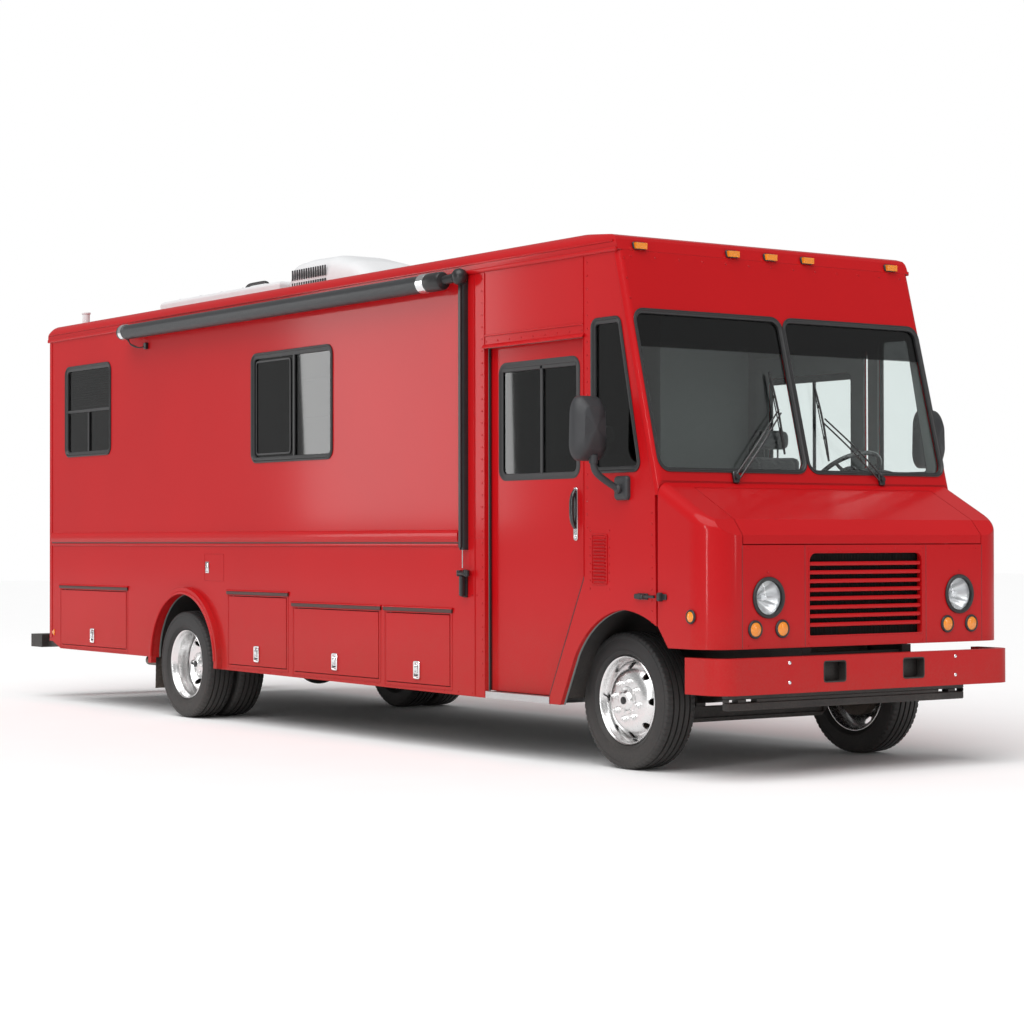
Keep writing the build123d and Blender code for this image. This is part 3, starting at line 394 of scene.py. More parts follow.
def insideGroup():
    # inner faces of the shell: the weighted way from the middle of the body, against the face's own normal, and
    # all that lies nearer the middle than the limit in X
    group, start, end = newGroup("insideFace", [
        ("Vector", "Vector", None), ("Centre", "Vector", (0, 0.5, 1.9)), ("Weights", "Vector", (1, 1, 1)),
        ("Limit", "Float", 0.0)],
        [("Mask", "Float")])
    way = addNode(group, "VectorMath", {"operation": "SUBTRACT"}, i0=start.outputs[0], i1=start.outputs[1])
    way = addNode(group, "VectorMath", {"operation": "MULTIPLY"}, i0=way.outputs[0], i1=start.outputs[2])
    normal = addNode(group, "TexCoord").outputs["Normal"]
    facing = addNode(group, "VectorMath", {"operation": "DOT_PRODUCT"}, i0=way.outputs[0], i1=normal)
    across = math(group, "ABSOLUTE", addNode(group, "SeparateXYZ", None, Vector=start.outputs[0]).outputs[0])
    inward = math(group, "LESS_THAN", facing.outputs["Value"], -0.15)
    group.links.new(math(group, "MAXIMUM", inward, math(group, "LESS_THAN", across, start.outputs[3])), end.inputs[0])
    return group


def brushedGroup():
    # brushed or spun metal: noise drawn out along one axis
    group, start, end = newGroup("brushedMetal", [
        ("Vector", "Vector", None), ("Stretch", "Vector", (1, 60, 60)), ("Height", "Float", 0.0002)],
        [("Value", "Float"), ("Normal", "Vector")])
    drawn = addNode(group, "VectorMath", {"operation": "MULTIPLY"}, i0=start.outputs[0], i1=start.outputs[1])
    noise = addNode(group, "TexNoise", None, Vector=drawn.outputs[0], Scale=6.0, Detail=5.0)
    bump = addNode(group, "Bump", None, Height=noise.outputs["Fac"], Distance=start.outputs[2])
    group.links.new(noise.outputs["Fac"], end.inputs[0])
    group.links.new(bump.outputs[0], end.inputs[1])
    return group


def weaveGroup():
    # plain weave: the product of two crossed sine waves
    group, start, end = newGroup("plainWeave", [
        ("Vector", "Vector", None), ("Threads", "Float", 1400.0)], [("Height", "Float"), ("Mask", "Float")])
    xyz = addNode(group, "SeparateXYZ", None, Vector=start.outputs[0])
    waves = [math(group, "SINE", math(group, "MULTIPLY", xyz.outputs[i], start.outputs[1])) for i in (0, 1, 2)]
    sideWave = math(group, "ADD", waves[1], waves[2])
    crossed = math(group, "MULTIPLY", waves[0], sideWave)
    group.links.new(crossed, end.inputs[0])
    group.links.new(math(group, "MULTIPLY_ADD", crossed, 0.25), end.inputs[1])
    return group


groups = {
    "uneven": noiseBumpGroup(), "dust": dustGroup(), "edge": edgeGroup(), "inside": insideGroup(),
    "brushed": brushedGroup(), "weave": weaveGroup(),
}


def newMaterial(name):
    material = bpy.data.materials.new(name)
    material.use_nodes = True
    tree = material.node_tree
    return material, tree, tree.nodes["Principled BSDF"], addNode(tree, "TexCoord").outputs["Object"]


def useGroup(tree, name, **values):
    node = tree.nodes.new("ShaderNodeGroup")
    node.node_tree = groups[name]
    for label, value in values.items():
        if isinstance(value, bpy.types.NodeSocket):
            tree.links.new(value, node.inputs[label])
        else:
            node.inputs[label].default_value = value
    return node


def mixColour(tree, factor, first, second):
    node = addNode(tree, "Mix", {"data_type": "RGBA"})
    for index, value in ((0, factor), (6, first), (7, second)):
        if isinstance(value, bpy.types.NodeSocket):
            tree.links.new(value, node.inputs[index])
        else:
            node.inputs[index].default_value = value
    return node.outputs[2]


def rgb(r, g, b):
    return (r, g, b, 1.0)


paint = {
    "colour": rgb(0.50, 0.0042, 0.0070), "deep": rgb(0.42, 0.003, 0.0055), "chip": rgb(0.25, 0.05, 0.04),
    "film": rgb(0.30, 0.10, 0.08), "lining": rgb(0.20, 0.225, 0.22), "roughness": 0.46, "coat": 0.30, "shine": 0.10,
}


def paintMaterial(name, weights=None, film=0.35, wavy=0.0010, limit=0.0):
    # two noises vary the red, film darkens it low down, edges soften, inner faces are lining
    material, tree, shader, where = newMaterial(name)
    cloud = addNode(tree, "TexNoise", None, Vector=where, Scale=0.8, Detail=3.0).outputs["Fac"]
    colour = mixColour(tree, cloud, paint["deep"], paint["colour"])
    worn = useGroup(tree, "edge", Vector=where, Radius=0.006, Amount=0.35)
    colour = mixColour(tree, worn.outputs["Mask"], colour, paint["chip"])
    dust = useGroup(tree, "dust", Vector=where, Low=0.25, High=1.0, Amount=film).outputs[0]
    colour = mixColour(tree, dust, colour, paint["film"])
    rough = math(tree, "MULTIPLY_ADD", dust, 0.5)
    rough.node.inputs[2].default_value = paint["roughness"]
    coat = math(tree, "MULTIPLY_ADD", dust, -0.8)
    coat.node.inputs[2].default_value = paint["coat"]
    if weights:
        lining = useGroup(tree, "inside", Vector=where, Weights=weights, Limit=limit).outputs[0]
        colour = mixColour(tree, lining, colour, paint["lining"])
        coat = math(tree, "MULTIPLY", coat, math(tree, "SUBTRACT", 1.0, lining))
    waves = useGroup(tree, "uneven", Vector=where, Scale=2.2, Height=wavy, Normal=worn.outputs["Normal"])
    peel = useGroup(tree, "uneven", Vector=where, Scale=300.0, Height=0.00002, Normal=waves.outputs["Normal"])
    tree.links.new(colour, shader.inputs["Base Color"])
    tree.links.new(rough, shader.inputs["Roughness"])
    tree.links.new(coat, shader.inputs["Coat Weight"])
    tree.links.new(peel.outputs["Normal"], shader.inputs["Normal"])
    shader.inputs["Coat Roughness"].default_value = 0.10
    shader.inputs["Specular IOR Level"].default_value = paint["shine"]
    return material


def plainMaterial(name, colour, second, roughness, metallic=0.0, scale=25.0, bump=0.0004, film=0.0,
                  wear=None, coat=0.0, bumpScale=120.0, filmHigh=1.1):
    # colour varied by noise between two shades, with fine bump, optional worn edges and road film
    material, tree, shader, where = newMaterial(name)
    noise = addNode(tree, "TexNoise", None, Vector=where, Scale=scale, Detail=5.0).outputs["Fac"]
    shade = mixColour(tree, noise, colour, second)
    normal = {}
    if wear:
        worn = useGroup(tree, "edge", Vector=where, Radius=0.003, Amount=0.7)
        shade = mixColour(tree, worn.outputs["Mask"], shade, wear)
        normal = {"Normal": worn.outputs["Normal"]}
    if film:
        dust = useGroup(tree, "dust", Vector=where, Low=0.1, High=filmHigh, Amount=film).outputs[0]
        shade = mixColour(tree, dust, shade, rgb(0.22, 0.18, 0.15))
    rough = math(tree, "MULTIPLY_ADD", noise, 0.16)
    rough.node.inputs[2].default_value = max(0.02, roughness - 0.08)
    fine = useGroup(tree, "uneven", Vector=where, Scale=bumpScale, Height=bump, **normal)
    tree.links.new(shade, shader.inputs["Base Color"])
    tree.links.new(rough, shader.inputs["Roughness"])
    tree.links.new(fine.outputs["Normal"], shader.inputs["Normal"])
    shader.inputs["Metallic"].default_value = metallic
    shader.inputs["Coat Weight"].default_value = coat
    return material


def metalMaterial(name, colour, roughness, stretch, height=0.0002, film=0.0):
    # drawn-out noise sets the roughness and the grain of a bright metal
    material, tree, shader, where = newMaterial(name)
    grain = useGroup(tree, "brushed", Vector=where, Stretch=stretch, Height=height)
    shade = mixColour(tree, grain.outputs["Value"], colour, tuple(0.82 * c for c in colour[:3]) + (1.0,))
    if film:
        dust = useGroup(tree, "dust", Vector=where, Low=0.1, High=0.9, Amount=film).outputs[0]
        shade = mixColour(tree, dust, shade, rgb(0.30, 0.27, 0.24))
    rough = math(tree, "MULTIPLY_ADD", grain.outputs["Value"], 0.18)
    rough.node.inputs[2].default_value = max(0.02, roughness - 0.09)
    tree.links.new(shade, shader.inputs["Base Color"])
    tree.links.new(rough, shader.inputs["Roughness"])
    tree.links.new(grain.outputs["Normal"], shader.inputs["Normal"])
    shader.inputs["Metallic"].default_value = 1.0
    return material


def glassMaterial(name, colour, paintedBacklitTint=None, band=None):
    # tinted glass; where asked, the left-hand panes ahead of a place in Y get a pale tint, painted light standing in
    # for their backlit look while the same panes on the right stay dark; band is the colour above a height
    material, tree, shader, where = newMaterial(name)
    noise = addNode(tree, "TexNoise", None, Vector=where, Scale=1.5, Detail=2.0).outputs["Fac"]
    shade = mixColour(tree, noise, colour, tuple(0.92 * c for c in colour[:3]) + (1.0,))
    xyz = addNode(tree, "SeparateXYZ", None, Vector=where)
    # painted light: pale tint on the left-hand cab panes only, standing in for their backlit look
    if paintedBacklitTint:
        ahead = math(tree, "LESS_THAN", xyz.outputs[1], axleY + 1.5)
        onLeft = math(tree, "MULTIPLY", math(tree, "GREATER_THAN", xyz.outputs[0], 0.0), ahead)
        shade = mixColour(tree, onLeft, shade, paintedBacklitTint)
    if band:
        height, dark = band
        edge = addNode(tree, "MapRange", {"clamp": True}, Value=xyz.outputs[2], From_Min=height - 0.004,
                       From_Max=height + 0.004).outputs[0]
        shade = mixColour(tree, edge, shade, dark)
    tree.links.new(shade, shader.inputs["Base Color"])
    shader.inputs["Roughness"].default_value = 0.02
    shader.inputs["IOR"].default_value = 1.45
    shader.inputs["Transmission Weight"].default_value = 1.0
    return material


def lensMaterial(name, colour, glow):
    # moulded lens: clear tinted plastic with a fine fluted bump and a little light of its own
    material, tree, shader, where = newMaterial(name)
    flutes = addNode(tree, "TexWave", {"bands_direction": "X"}, Vector=where, Scale=60.0)
    crossing = addNode(tree, "TexWave", {"bands_direction": "Z"}, Vector=where, Scale=60.0)
    height = math(tree, "ADD", flutes.outputs["Fac"], crossing.outputs["Fac"])
    bump = addNode(tree, "Bump", None, Height=height, Distance=0.0008)
    shade = mixColour(tree, flutes.outputs["Fac"], colour, tuple(0.75 * c for c in colour[:3]) + (1.0,))
    tree.links.new(shade, shader.inputs["Base Color"])
    tree.links.new(bump.outputs[0], shader.inputs["Normal"])
    tree.links.new(shade, shader.inputs["Emission Color"])
    shader.inputs["Emission Strength"].default_value = glow
    shader.inputs["Roughness"].default_value = 0.12
    shader.inputs["Coat Weight"].default_value = 1.0
    return material


def weaveMaterial(name, colour, second, threads, roughness, sheen):
    # woven cloth: crossed sine waves for the threads, noise for wear
    material, tree, shader, where = newMaterial(name)
    cloth = useGroup(tree, "weave", Vector=where, Threads=threads)
    noise = addNode(tree, "TexNoise", None, Vector=where, Scale=14.0, Detail=5.0).outputs["Fac"]
    shade = mixColour(tree, math(tree, "ADD", noise, cloth.outputs["Mask"], True), colour, second)
    bump = addNode(tree, "Bump", None, Height=cloth.outputs["Height"], Distance=0.0005)
    tree.links.new(shade, shader.inputs["Base Color"])
    tree.links.new(bump.outputs[0], shader.inputs["Normal"])
    shader.inputs["Roughness"].default_value = roughness
    shader.inputs["Sheen Weight"].default_value = sheen
    return material


def endLampMaterial():
    # amber lenses ahead of the axles' middle and red ones behind it
    material = lensMaterial("lampLenses", rgb(0.90, 0.27, 0.002), 0.12)
    tree = material.node_tree
    shader = tree.nodes["Principled BSDF"]
    where = addNode(tree, "TexCoord").outputs["Object"]
    behind = math(tree, "GREATER_THAN", addNode(tree, "SeparateXYZ", None, Vector=where).outputs[1], 1.0)
    amber = shader.inputs["Base Color"].links[0].from_socket
    shade = mixColour(tree, behind, amber, rgb(0.55, 0.01, 0.01))
    tree.links.new(shade, shader.inputs["Base Color"])
    tree.links.new(shade, shader.inputs["Emission Color"])
    return material


redSide = paintMaterial("redPaintSides", (1, 0, 0), limit=1.142)
redDoor = paintMaterial("redPaintDoors", (1, 0, 0), limit=1.105)
redEnds = paintMaterial("redPaintEnds", (0, 1, 0))
redRoof = paintMaterial("redPaintRoof", (1, 1, 1), film=0.0)
redPlain = paintMaterial("redPaintParts")
redTrim = paintMaterial("redPaintTrim", film=0.2, wavy=0.0002)
blackSteel = plainMaterial("chassisBlack", rgb(0.008, 0.008, 0.009), rgb(0.016, 0.015, 0.015), 0.55,
                           film=0.2, wear=rgb(0.10, 0.06, 0.04), bump=0.0008)
castIron = plainMaterial("castIron", rgb(0.05, 0.047, 0.045), rgb(0.10, 0.075, 0.06), 0.7, 0.6,
                         bump=0.002, film=0.4)
dullSteel = plainMaterial("exhaustSteel", rgb(0.22, 0.20, 0.18), rgb(0.12, 0.09, 0.07), 0.45, 0.9,
                          scale=12.0, film=0.4)
stepMetal = metalMaterial("stepAluminium", rgb(0.66, 0.67, 0.68), 0.34, (80, 2, 80), 0.0003, 0.3)
polished = metalMaterial("polishedWheel", rgb(0.90, 0.90, 0.90), 0.26, (30, 30, 30), 0.00005, 0.10)
chrome = metalMaterial("chromePlate", rgb(0.85, 0.86, 0.87), 0.11, (20, 20, 90), 0.00003)
rubber = plainMaterial("gasketRubber", rgb(0.012, 0.012, 0.013), rgb(0.022, 0.022, 0.023), 0.42, bump=0.0002)
tyreRubber = plainMaterial("tyreRubber", rgb(0.011, 0.011, 0.012), rgb(0.022, 0.022, 0.022), 0.60,
                           film=0.10, bump=0.0005, filmHigh=0.8)
moulded = plainMaterial("mouldedPlastic", rgb(0.022, 0.023, 0.026), rgb(0.034, 0.035, 0.038), 0.48,
                        bump=0.0010, bumpScale=420.0)
glossBlack = plainMaterial("glossBlack", rgb(0.010, 0.010, 0.011), rgb(0.018, 0.018, 0.019), 0.24,
                           bump=0.0001, coat=0.5)
whiteShell = plainMaterial("whiteShell", rgb(0.80, 0.81, 0.82), rgb(0.70, 0.71, 0.72), 0.42, bump=0.0003,
                           scale=6.0)
trimGrey = plainMaterial("greyTrim", rgb(0.17, 0.19, 0.19), rgb(0.21, 0.235, 0.23), 0.6, bump=0.0008,
                         bumpScale=300.0)
dashTop = plainMaterial("dashGrain", rgb(0.020, 0.022, 0.023), rgb(0.034, 0.036, 0.037), 0.65,
                        bump=0.0012, bumpScale=260.0)
floorVinyl = plainMaterial("floorVinyl", rgb(0.09, 0.085, 0.08), rgb(0.15, 0.14, 0.13), 0.6, bump=0.0006)
darkVoid = plainMaterial("radiatorCore", rgb(0.006, 0.006, 0.006), rgb(0.014, 0.013, 0.012), 0.8, bump=0.002)
# dark trim: the locker drip strips, and also the painted shadow strip in the groove under each belt rail
dripAndShadowTrim = plainMaterial("dripTrimAndPaintedShadow", rgb(0.035, 0.016, 0.013), rgb(0.075, 0.022, 0.016), 0.45, bump=0.0006)
vinylRoll = plainMaterial("awningVinyl", rgb(0.016, 0.018, 0.020), rgb(0.028, 0.030, 0.033), 0.40,
                          bump=0.0010, bumpScale=60.0)
armBlack = plainMaterial("awningArm", rgb(0.012, 0.012, 0.013), rgb(0.020, 0.020, 0.021), 0.33, bump=0.0002)
# the pale second tint is painted light on the left-hand cab panes
darkGlass = glassMaterial("darkGlass", rgb(0.075, 0.080, 0.078), paintedBacklitTint=rgb(0.90, 0.95, 0.94))
screenGlass = glassMaterial("screenGlass", rgb(0.90, 0.95, 0.94), band=(2.462, rgb(0.05, 0.054, 0.054)))
clearLens = glassMaterial("clearLens", rgb(0.96, 0.97, 0.98))
amberLens = lensMaterial("amberLens", rgb(0.90, 0.27, 0.002), 0.15)
endLamps = endLampMaterial()
seatCloth = weaveMaterial("seatCloth", rgb(0.045, 0.048, 0.052), rgb(0.075, 0.078, 0.082), 1500.0, 0.85, 0.3)
flapRubber = plainMaterial("flapRubber", rgb(0.010, 0.010, 0.010), rgb(0.020, 0.019, 0.018), 0.6,
                           film=0.5, bump=0.0008)
print("materials made")


def dressNodes():
    looks = {
        redSide: ["side_walls", "lower_walls", "cab_sides"],
        redEnds: ["front_wall", "rear_wall"],
        redRoof: ["roof"],
        redDoor: ["entry_door", "driver_door"],
        redPlain: ["nose_shell", "hood_lid", "front_bumper", "rear_door_right", "rear_door_left", "locker_door_right_1", "locker_door_right_2", "locker_door_right_3",
                   "locker_door_right_4", "locker_door_left_1", "locker_door_left_2"],
        blackSteel: ["ladder_frame", "floor_bearers", "front_axle", "rear_axle", "driveshaft", "rear_bumper",
                     "luggage_bays"],
        castIron: ["engine_block", "knuckle_right", "knuckle_left"],
        stepMetal: ["entry_steps", "fuel_tank"],
        dullSteel: ["exhaust"],
        trimGrey: ["partitions"],
        dashTop: ["dashboard"],
        floorVinyl: ["floor"],
        darkGlass: ["side_windows", "entry_door_window", "driver_door_window"],
        screenGlass: ["windshields"],
        endLamps: ["body_lamps"],
        whiteShell: ["roof_hatch"],
    }
    for material, names in looks.items():
        for name in names:
            mesh = frame["nodes"][name].data
            mesh.materials.clear()
            mesh.materials.append(material)


dressNodes()
print("frame dressed")


# ---- stage

def makeStage():
    look = {"backdrop": 1.0, "sky": 0.36, "sun": 2.6, "sideStrip": 300.0, "frontStrip": 90.0, "rearStrip": 260.0}
    world = bpy.data.worlds.new("studio")
    world.use_nodes = True
    tree = world.node_tree
    path = addNode(tree, "LightPath")
    seen = math(tree, "MAXIMUM", path.outputs["Is Camera Ray"], path.outputs["Is Transmission Ray"])
    shade = mixColour(tree, seen, rgb(*[look["sky"]] * 3), rgb(*[look["backdrop"]] * 3))
    tree.links.new(shade, tree.nodes["Background"].inputs[0])
    bpy.context.scene.world = world
    half = 60.0
    mesh = bpy.data.meshes.new("studioFloor")
    mesh.from_pydata([(-half, -half, 0), (half, -half, 0), (half, half, 0), (-half, half, 0)], [], [(0, 1, 2, 3)])
    floor = bpy.data.objects.new("studioFloor", mesh)
    bpy.context.scene.collection.objects.link(floor)
    mesh.materials.append(plainMaterial("paleFloor", rgb(0.93, 0.93, 0.93), rgb(0.95, 0.95, 0.95), 0.9,
                                        scale=2.0, bump=0.0))
    for name, kind, spot, aim, size, tall, power in (
        ("softSun", "SUN", (-5, -3, 10), (0, 0, 0), 1.1, 0, look["sun"]),
        ("sideStrip", "AREA", (-14, -9, 4), (0, -2, 1.5), 0.8, 7.0, look["sideStrip"]),
        ("frontStrip", "AREA", (5, -15, 4), (0, -4, 1.5), 0.8, 6.0, look["frontStrip"]),
        ("rearStrip", "AREA", (-11, 14, 5), (0, 2, 1.8), 3.0, 7.0, look["rearStrip"]),
    ):
        data = bpy.data.lights.new(name, kind)
        data.energy = power
        if kind == "SUN":
            data.angle = size
        else:
            data.shape = "RECTANGLE"
            data.size, data.size_y = size, tall
        lamp = bpy.data.objects.new(name, data)
        lamp.location = spot
        lamp.rotation_euler = (Vector(aim) - Vector(spot)).to_track_quat("-Z", "Y").to_euler()
        bpy.context.scene.collection.objects.link(lamp)
    bpy.context.scene.view_settings.view_transform = "Standard"


def makeCamera():
    view = {"spot": (-9.589, -14.599, 1.347), "turn": 0.6165, "tilt": 0.0110, "roll": 0.0015, "lens": 83.42}
    data = bpy.data.cameras.new("studioCamera")
    data.lens = view["lens"]
    data.sensor_width = 36.0
    data.shift_x = -0.0015
    data.shift_y = 0.0018
    camera = bpy.data.objects.new("studioCamera", data)
    turn = Matrix.Rotation(-view["turn"], 4, "Z") @ Matrix.Rotation(radians(90) + view["tilt"], 4, "X")
    camera.matrix_world = Matrix.Translation(view["spot"]) @ turn @ Matrix.Rotation(-view["roll"], 4, "Z")
    bpy.context.scene.collection.objects.link(camera)
    bpy.context.scene.camera = camera


makeStage()
makeCamera()
print("stage and camera ready")


# ---- wheels

wheel = {
    "flange": 0.2625, "well": 0.228, "halfWidth": 0.088, "bead": 0.0760, "holes": 8, "holeAt": 0.203,
    "holeRadius": 0.0215, "nuts": 8, "nutAt": 0.112, "nutRadius": 0.0165, "tyreHalf": 0.112,
    "grooves": (-0.060, -0.020, 0.020, 0.060), "grooveWidth": 0.010, "grooveDepth": 0.012,
}


def tyreShape(place):
    # profile (radius, width) turned about the axle: crowned tread with square grooves, bulged sidewalls with
    # two raised bands, and shallow cross cuts where a pulse in the angle lowers the shoulders
    half = wheel["tyreHalf"]
    edges = np.sort(np.concatenate([
        [g + o for g in wheel["grooves"] for o in (-0.0062, -0.0048, 0.0048, 0.0062)],
        np.linspace(-0.094, 0.094, 7)]))
    inGroove = (np.abs(edges[:, None] - np.array(wheel["grooves"])) < 0.0055).any(1)
    tread = tyreRadius - 0.005 * (edges / 0.095) ** 2 - wheel["grooveDepth"] * inGroove
    shoulder = [(0.3960, 0.101), (0.3880, 0.1065), (0.3780, 0.1085), (0.3770, 0.1105), (0.3640, 0.1115),
                (0.3630, 0.1095), (0.3400, half), (0.3150, 0.1118), (0.3000, 0.1095), (0.2990, 0.1110),
                (0.2900, 0.1095), (0.2890, 0.1065), (0.2760, 0.0980), (0.2660, 0.0860), (0.2635, 0.0780),
                (0.2500, 0.0760), (0.2480, 0.0700)]
    outer = np.array(shoulder)
    profile = np.concatenate([np.c_[tread, edges], outer, outer[::-1] * (1, -1)])
    steps = 264
    a = np.linspace(0, 2 * np.pi, steps, endpoint=False)
    cut = (np.arange(steps) % 4 == 0)[:, None] * (np.abs(profile[None, :, 1]) > 0.085)
    cut = cut * (profile[None, :, 0] > 0.385) * 0.006
    radius = profile[None, :, 0] - cut
    local = np.stack([radius * np.cos(a)[:, None], radius * np.sin(a)[:, None],
                      np.broadcast_to(profile[None, :, 1], radius.shape)], -1)
    return toWorld(local, place).reshape(-1, 3), [gridFaces(steps, len(profile), True, True)]


def barrelShape(place):
    # closed section of the rim's barrel, lips and well turned about the axle
    f, w, h, b = wheel["flange"], wheel["well"], wheel["halfWidth"], wheel["bead"]
    section = [
        (f, h - 0.008), (f, h), (f - 0.004, h + 0.004), (f - 0.009, h + 0.001), (f - 0.015, h - 0.008),
        (f - 0.019, h - 0.020), (w + 0.010, h - 0.028), (w + 0.005, h - 0.036), (w, h - 0.050), (w, -h + 0.050),
        (w + 0.008, -h + 0.028), (f - 0.015, -h + 0.008), (f - 0.004, -h), (f, -h), (f, -b), (0.2487, -b),
        (0.240, -0.045), (0.240, 0.045), (0.2487, b), (f, b),
    ]
    return turned(section, place, 96)


def discShape(place, heights, thickness=0.010):
    # disc with round hand holes: in each sector the rows run from the hole's edge to the sector's border,
    # (r, angle) = (1 - v) hole + v border, with height h(r); front and back surfaces share the hole's wall
    n, around, rows = wheel["holes"], 40, 9
    rIn, rOut = heights[-1][0], heights[0][0]
    u = np.linspace(0, 2 * np.pi, around, endpoint=False)
    square = np.stack([np.cos(u), np.sin(u)], -1) / np.maximum(abs(np.cos(u)), abs(np.sin(u)))[:, None]
    hole = np.stack([wheel["holeAt"] + wheel["holeRadius"] * np.cos(u),
                     wheel["holeRadius"] * np.sin(u) / wheel["holeAt"]], -1)
    reach = np.where(square[:, 0] > 0, rOut - wheel["holeAt"], wheel["holeAt"] - rIn)
    border = np.stack([wheel["holeAt"] + square[:, 0] * reach, square[:, 1] * np.pi / n], -1)
    v = np.linspace(0, 1, rows) ** 1.3
    v = np.concatenate([v[::-1], v])[None, :, None]
    polar = (1 - v) * hole[:, None] + v * border[:, None]
    turns = np.arange(n) * 2 * np.pi / n
    angle = polar[None, ..., 1] + turns[:, None, None]
    r = np.broadcast_to(polar[None, ..., 0], angle.shape)
    table = np.array(heights)[::-1]
    height = np.interp(r, table[:, 0], table[:, 1])
    height = height - thickness * (np.arange(2 * rows) >= rows)
    lip = 0.003 * np.exp(-(((np.arange(2 * rows) % rows) - 0.0) / 0.8) ** 2)
    local = np.stack([r * np.cos(angle), r * np.sin(angle), height + 0 * lip], -1)
    one = gridFaces(around, 2 * rows, True, False)
    step = np.arange(n)[:, None, None] * around * 2 * rows
    return toWorld(local, place).reshape(-1, 3), [(one[None] + step).reshape(-1, 4)]


def nutRing(place, count, ring, radius, height, base):
    # hexagonal nuts with chamfered tops and a stud end, set evenly on a ring
    hexagon = circleLoop(radius, 6)
    nut = capped(hexagon, [(0, 0), (0, 0.8 * height), (-0.25 * radius, height)], (np.zeros(3), *np.eye(3)))
    stud = capped(circleLoop(0.5 * radius, 10), [(0, 0), (0, 1.35 * height), (-0.15 * radius, 1.5 * height)],
                  (np.zeros(3), *np.eye(3)))
    skirt = capped(circleLoop(1.25 * radius, 16), [(0, -0.004), (0, 0.002), (-0.2 * radius, 0.006)],
                   (np.zeros(3), *np.eye(3)))
    one = joined(nut, stud, skirt)
    a = np.arange(count) * 2 * np.pi / count + 0.2
    spots = np.stack([ring * np.cos(a), ring * np.sin(a), np.full(count, base)], -1)
    points, faces = copies(one, spots)
    return toWorld(points, place), faces


def frontWheel(name, side):
    x = side * float(np.mean([abs(c[0]) for c in corner(f"front_tyre_{name}")]))
    place = ((x, axleY, axleZ), axisY, axisZ, axisX * side)
    heights = [(0.229, 0.018), (0.222, 0.030), (0.205, 0.052), (0.185, 0.070), (0.165, 0.082), (0.145, 0.087),
               (0.075, 0.088)]
    hub = [(0.0, 0.115), (0.044, 0.114), (0.050, 0.108), (0.056, 0.104), (0.062, 0.094), (0.080, 0.092),
           (0.084, 0.086), (0.084, 0.070)]
    ring = capped(circleLoop(0.0, 48), hub[::-1], place)
    studs = nutRing(place, wheel["nuts"], wheel["nutAt"], wheel["nutRadius"], 0.020, 0.088)
    capBolts = nutRing(place, 8, 0.070, 0.006, 0.006, 0.092)
    stemPath = np.array([(0.222, 0.0, 0.05), (0.225, 0.012, 0.062), (0.222, 0.02, 0.082)])
    stem = tube(toWorld(stemPath, place), 0.004, 8, axisX)
    body = f"front_wheel_{name}"
    makePiece(f"front_rim_polished_{name}", joined(barrelShape(place), discShape(place, heights), ring, studs,
              capBolts), polished, body, 30, replaced=[f"front_rim_{name}"])
    seal = turned([(0.0, 0.1155), (0.020, 0.1155), (0.022, 0.1185), (0.018, 0.121), (0.0, 0.1215)], place, 32, False)
    makePiece(f"front_hub_seal_{name}", joined(seal, stem), rubber, body)
    drum = turned([(0.060, -0.070), (0.165, -0.070), (0.168, -0.064), (0.168, -0.018), (0.150, -0.012),
                   (0.060, -0.012)], place, 64)
    makePiece(f"front_brake_drum_{name}", drum, castIron, body)
    makePiece(f"front_tyre_tread_{name}", tyreShape(place), tyreRubber, body, 28,
              replaced=[f"front_tyre_{name}"])


def rearWheels(name, side):
    low, high = corner(f"rear_tyres_{name}")
    body = f"rear_wheels_{name}"
    span = sorted((abs(low[0]), abs(high[0])))
    half = wheel["tyreHalf"]
    outerX, innerX = span[1] - half, span[0] + half
    meet = (outerX - innerX) / 2
    outer = ((side * outerX, rearAxleY, axleZ), axisY, axisZ, axisX * side)
    inner = ((side * innerX, rearAxleY, axleZ), axisY, axisZ, -axisX * side)
    outerDisc = [(0.229, -0.050), (0.222, -0.062), (0.205, -0.084), (0.185, -0.100), (0.165, -0.110),
                 (0.145, -0.115), (0.085, -meet + 0.012)]
    hub = [(0.0, 0.016), (0.030, 0.016), (0.034, 0.010), (0.052, 0.004), (0.074, -0.004), (0.086, -0.012),
           (0.090, -0.030), (0.090, -0.100), (0.100, -0.112)]
    ring = capped(circleLoop(0.0, 48), hub[::-1], outer)
    innerDisc = [(r, h + 0.006) for r, h in outerDisc]
    studs = nutRing(outer, wheel["nuts"], wheel["nutAt"], wheel["nutRadius"], 0.020, -0.115)
    flange = nutRing(outer, 8, 0.066, 0.008, 0.008, -0.004)
    makePiece(f"rear_rims_polished_{name}", joined(barrelShape(outer), discShape(outer, outerDisc), ring, studs,
              flange, barrelShape(inner), discShape(inner, innerDisc)), polished, body, 30,
              replaced=[f"rear_rims_{name}"])
    seal = turned([(0.0, 0.016), (0.022, 0.016), (0.024, 0.019), (0.018, 0.022), (0.0, 0.023)], outer, 32, False)
    makePiece(f"rear_hub_seal_{name}", seal, rubber, body)
    makePiece(f"rear_tyre_treads_{name}", joined(tyreShape(outer), tyreShape(inner)), tyreRubber, body,
              28, replaced=[f"rear_tyres_{name}"])


for sideName, sideSign in sides.items():
    frontWheel(sideName, sideSign)
    rearWheels(sideName, sideSign)
print("wheels made")


# ---- windows

window = {"out": 0.022, "into": 0.026, "proud": 0.011, "bar": 0.024, "corner": 0.060}


def gasketProfile(out, into, proud, depth):
    # rubber section: a flat outer flange, a rounded rib and an inner step down to the glass
    return [(out, 0.0004), (out, 0.55 * proud), (out - 0.004, 0.8 * proud), (out - 0.009, 0.8 * proud),
            (out - 0.011, proud), (0.002, proud), (-0.002, 0.75 * proud), (-0.006, 0.2 * proud),
            (-into + 0.004, 0.0), (-into, -0.003), (-into, -depth), (-0.0005, -depth), (-0.0005, 0.0004)]


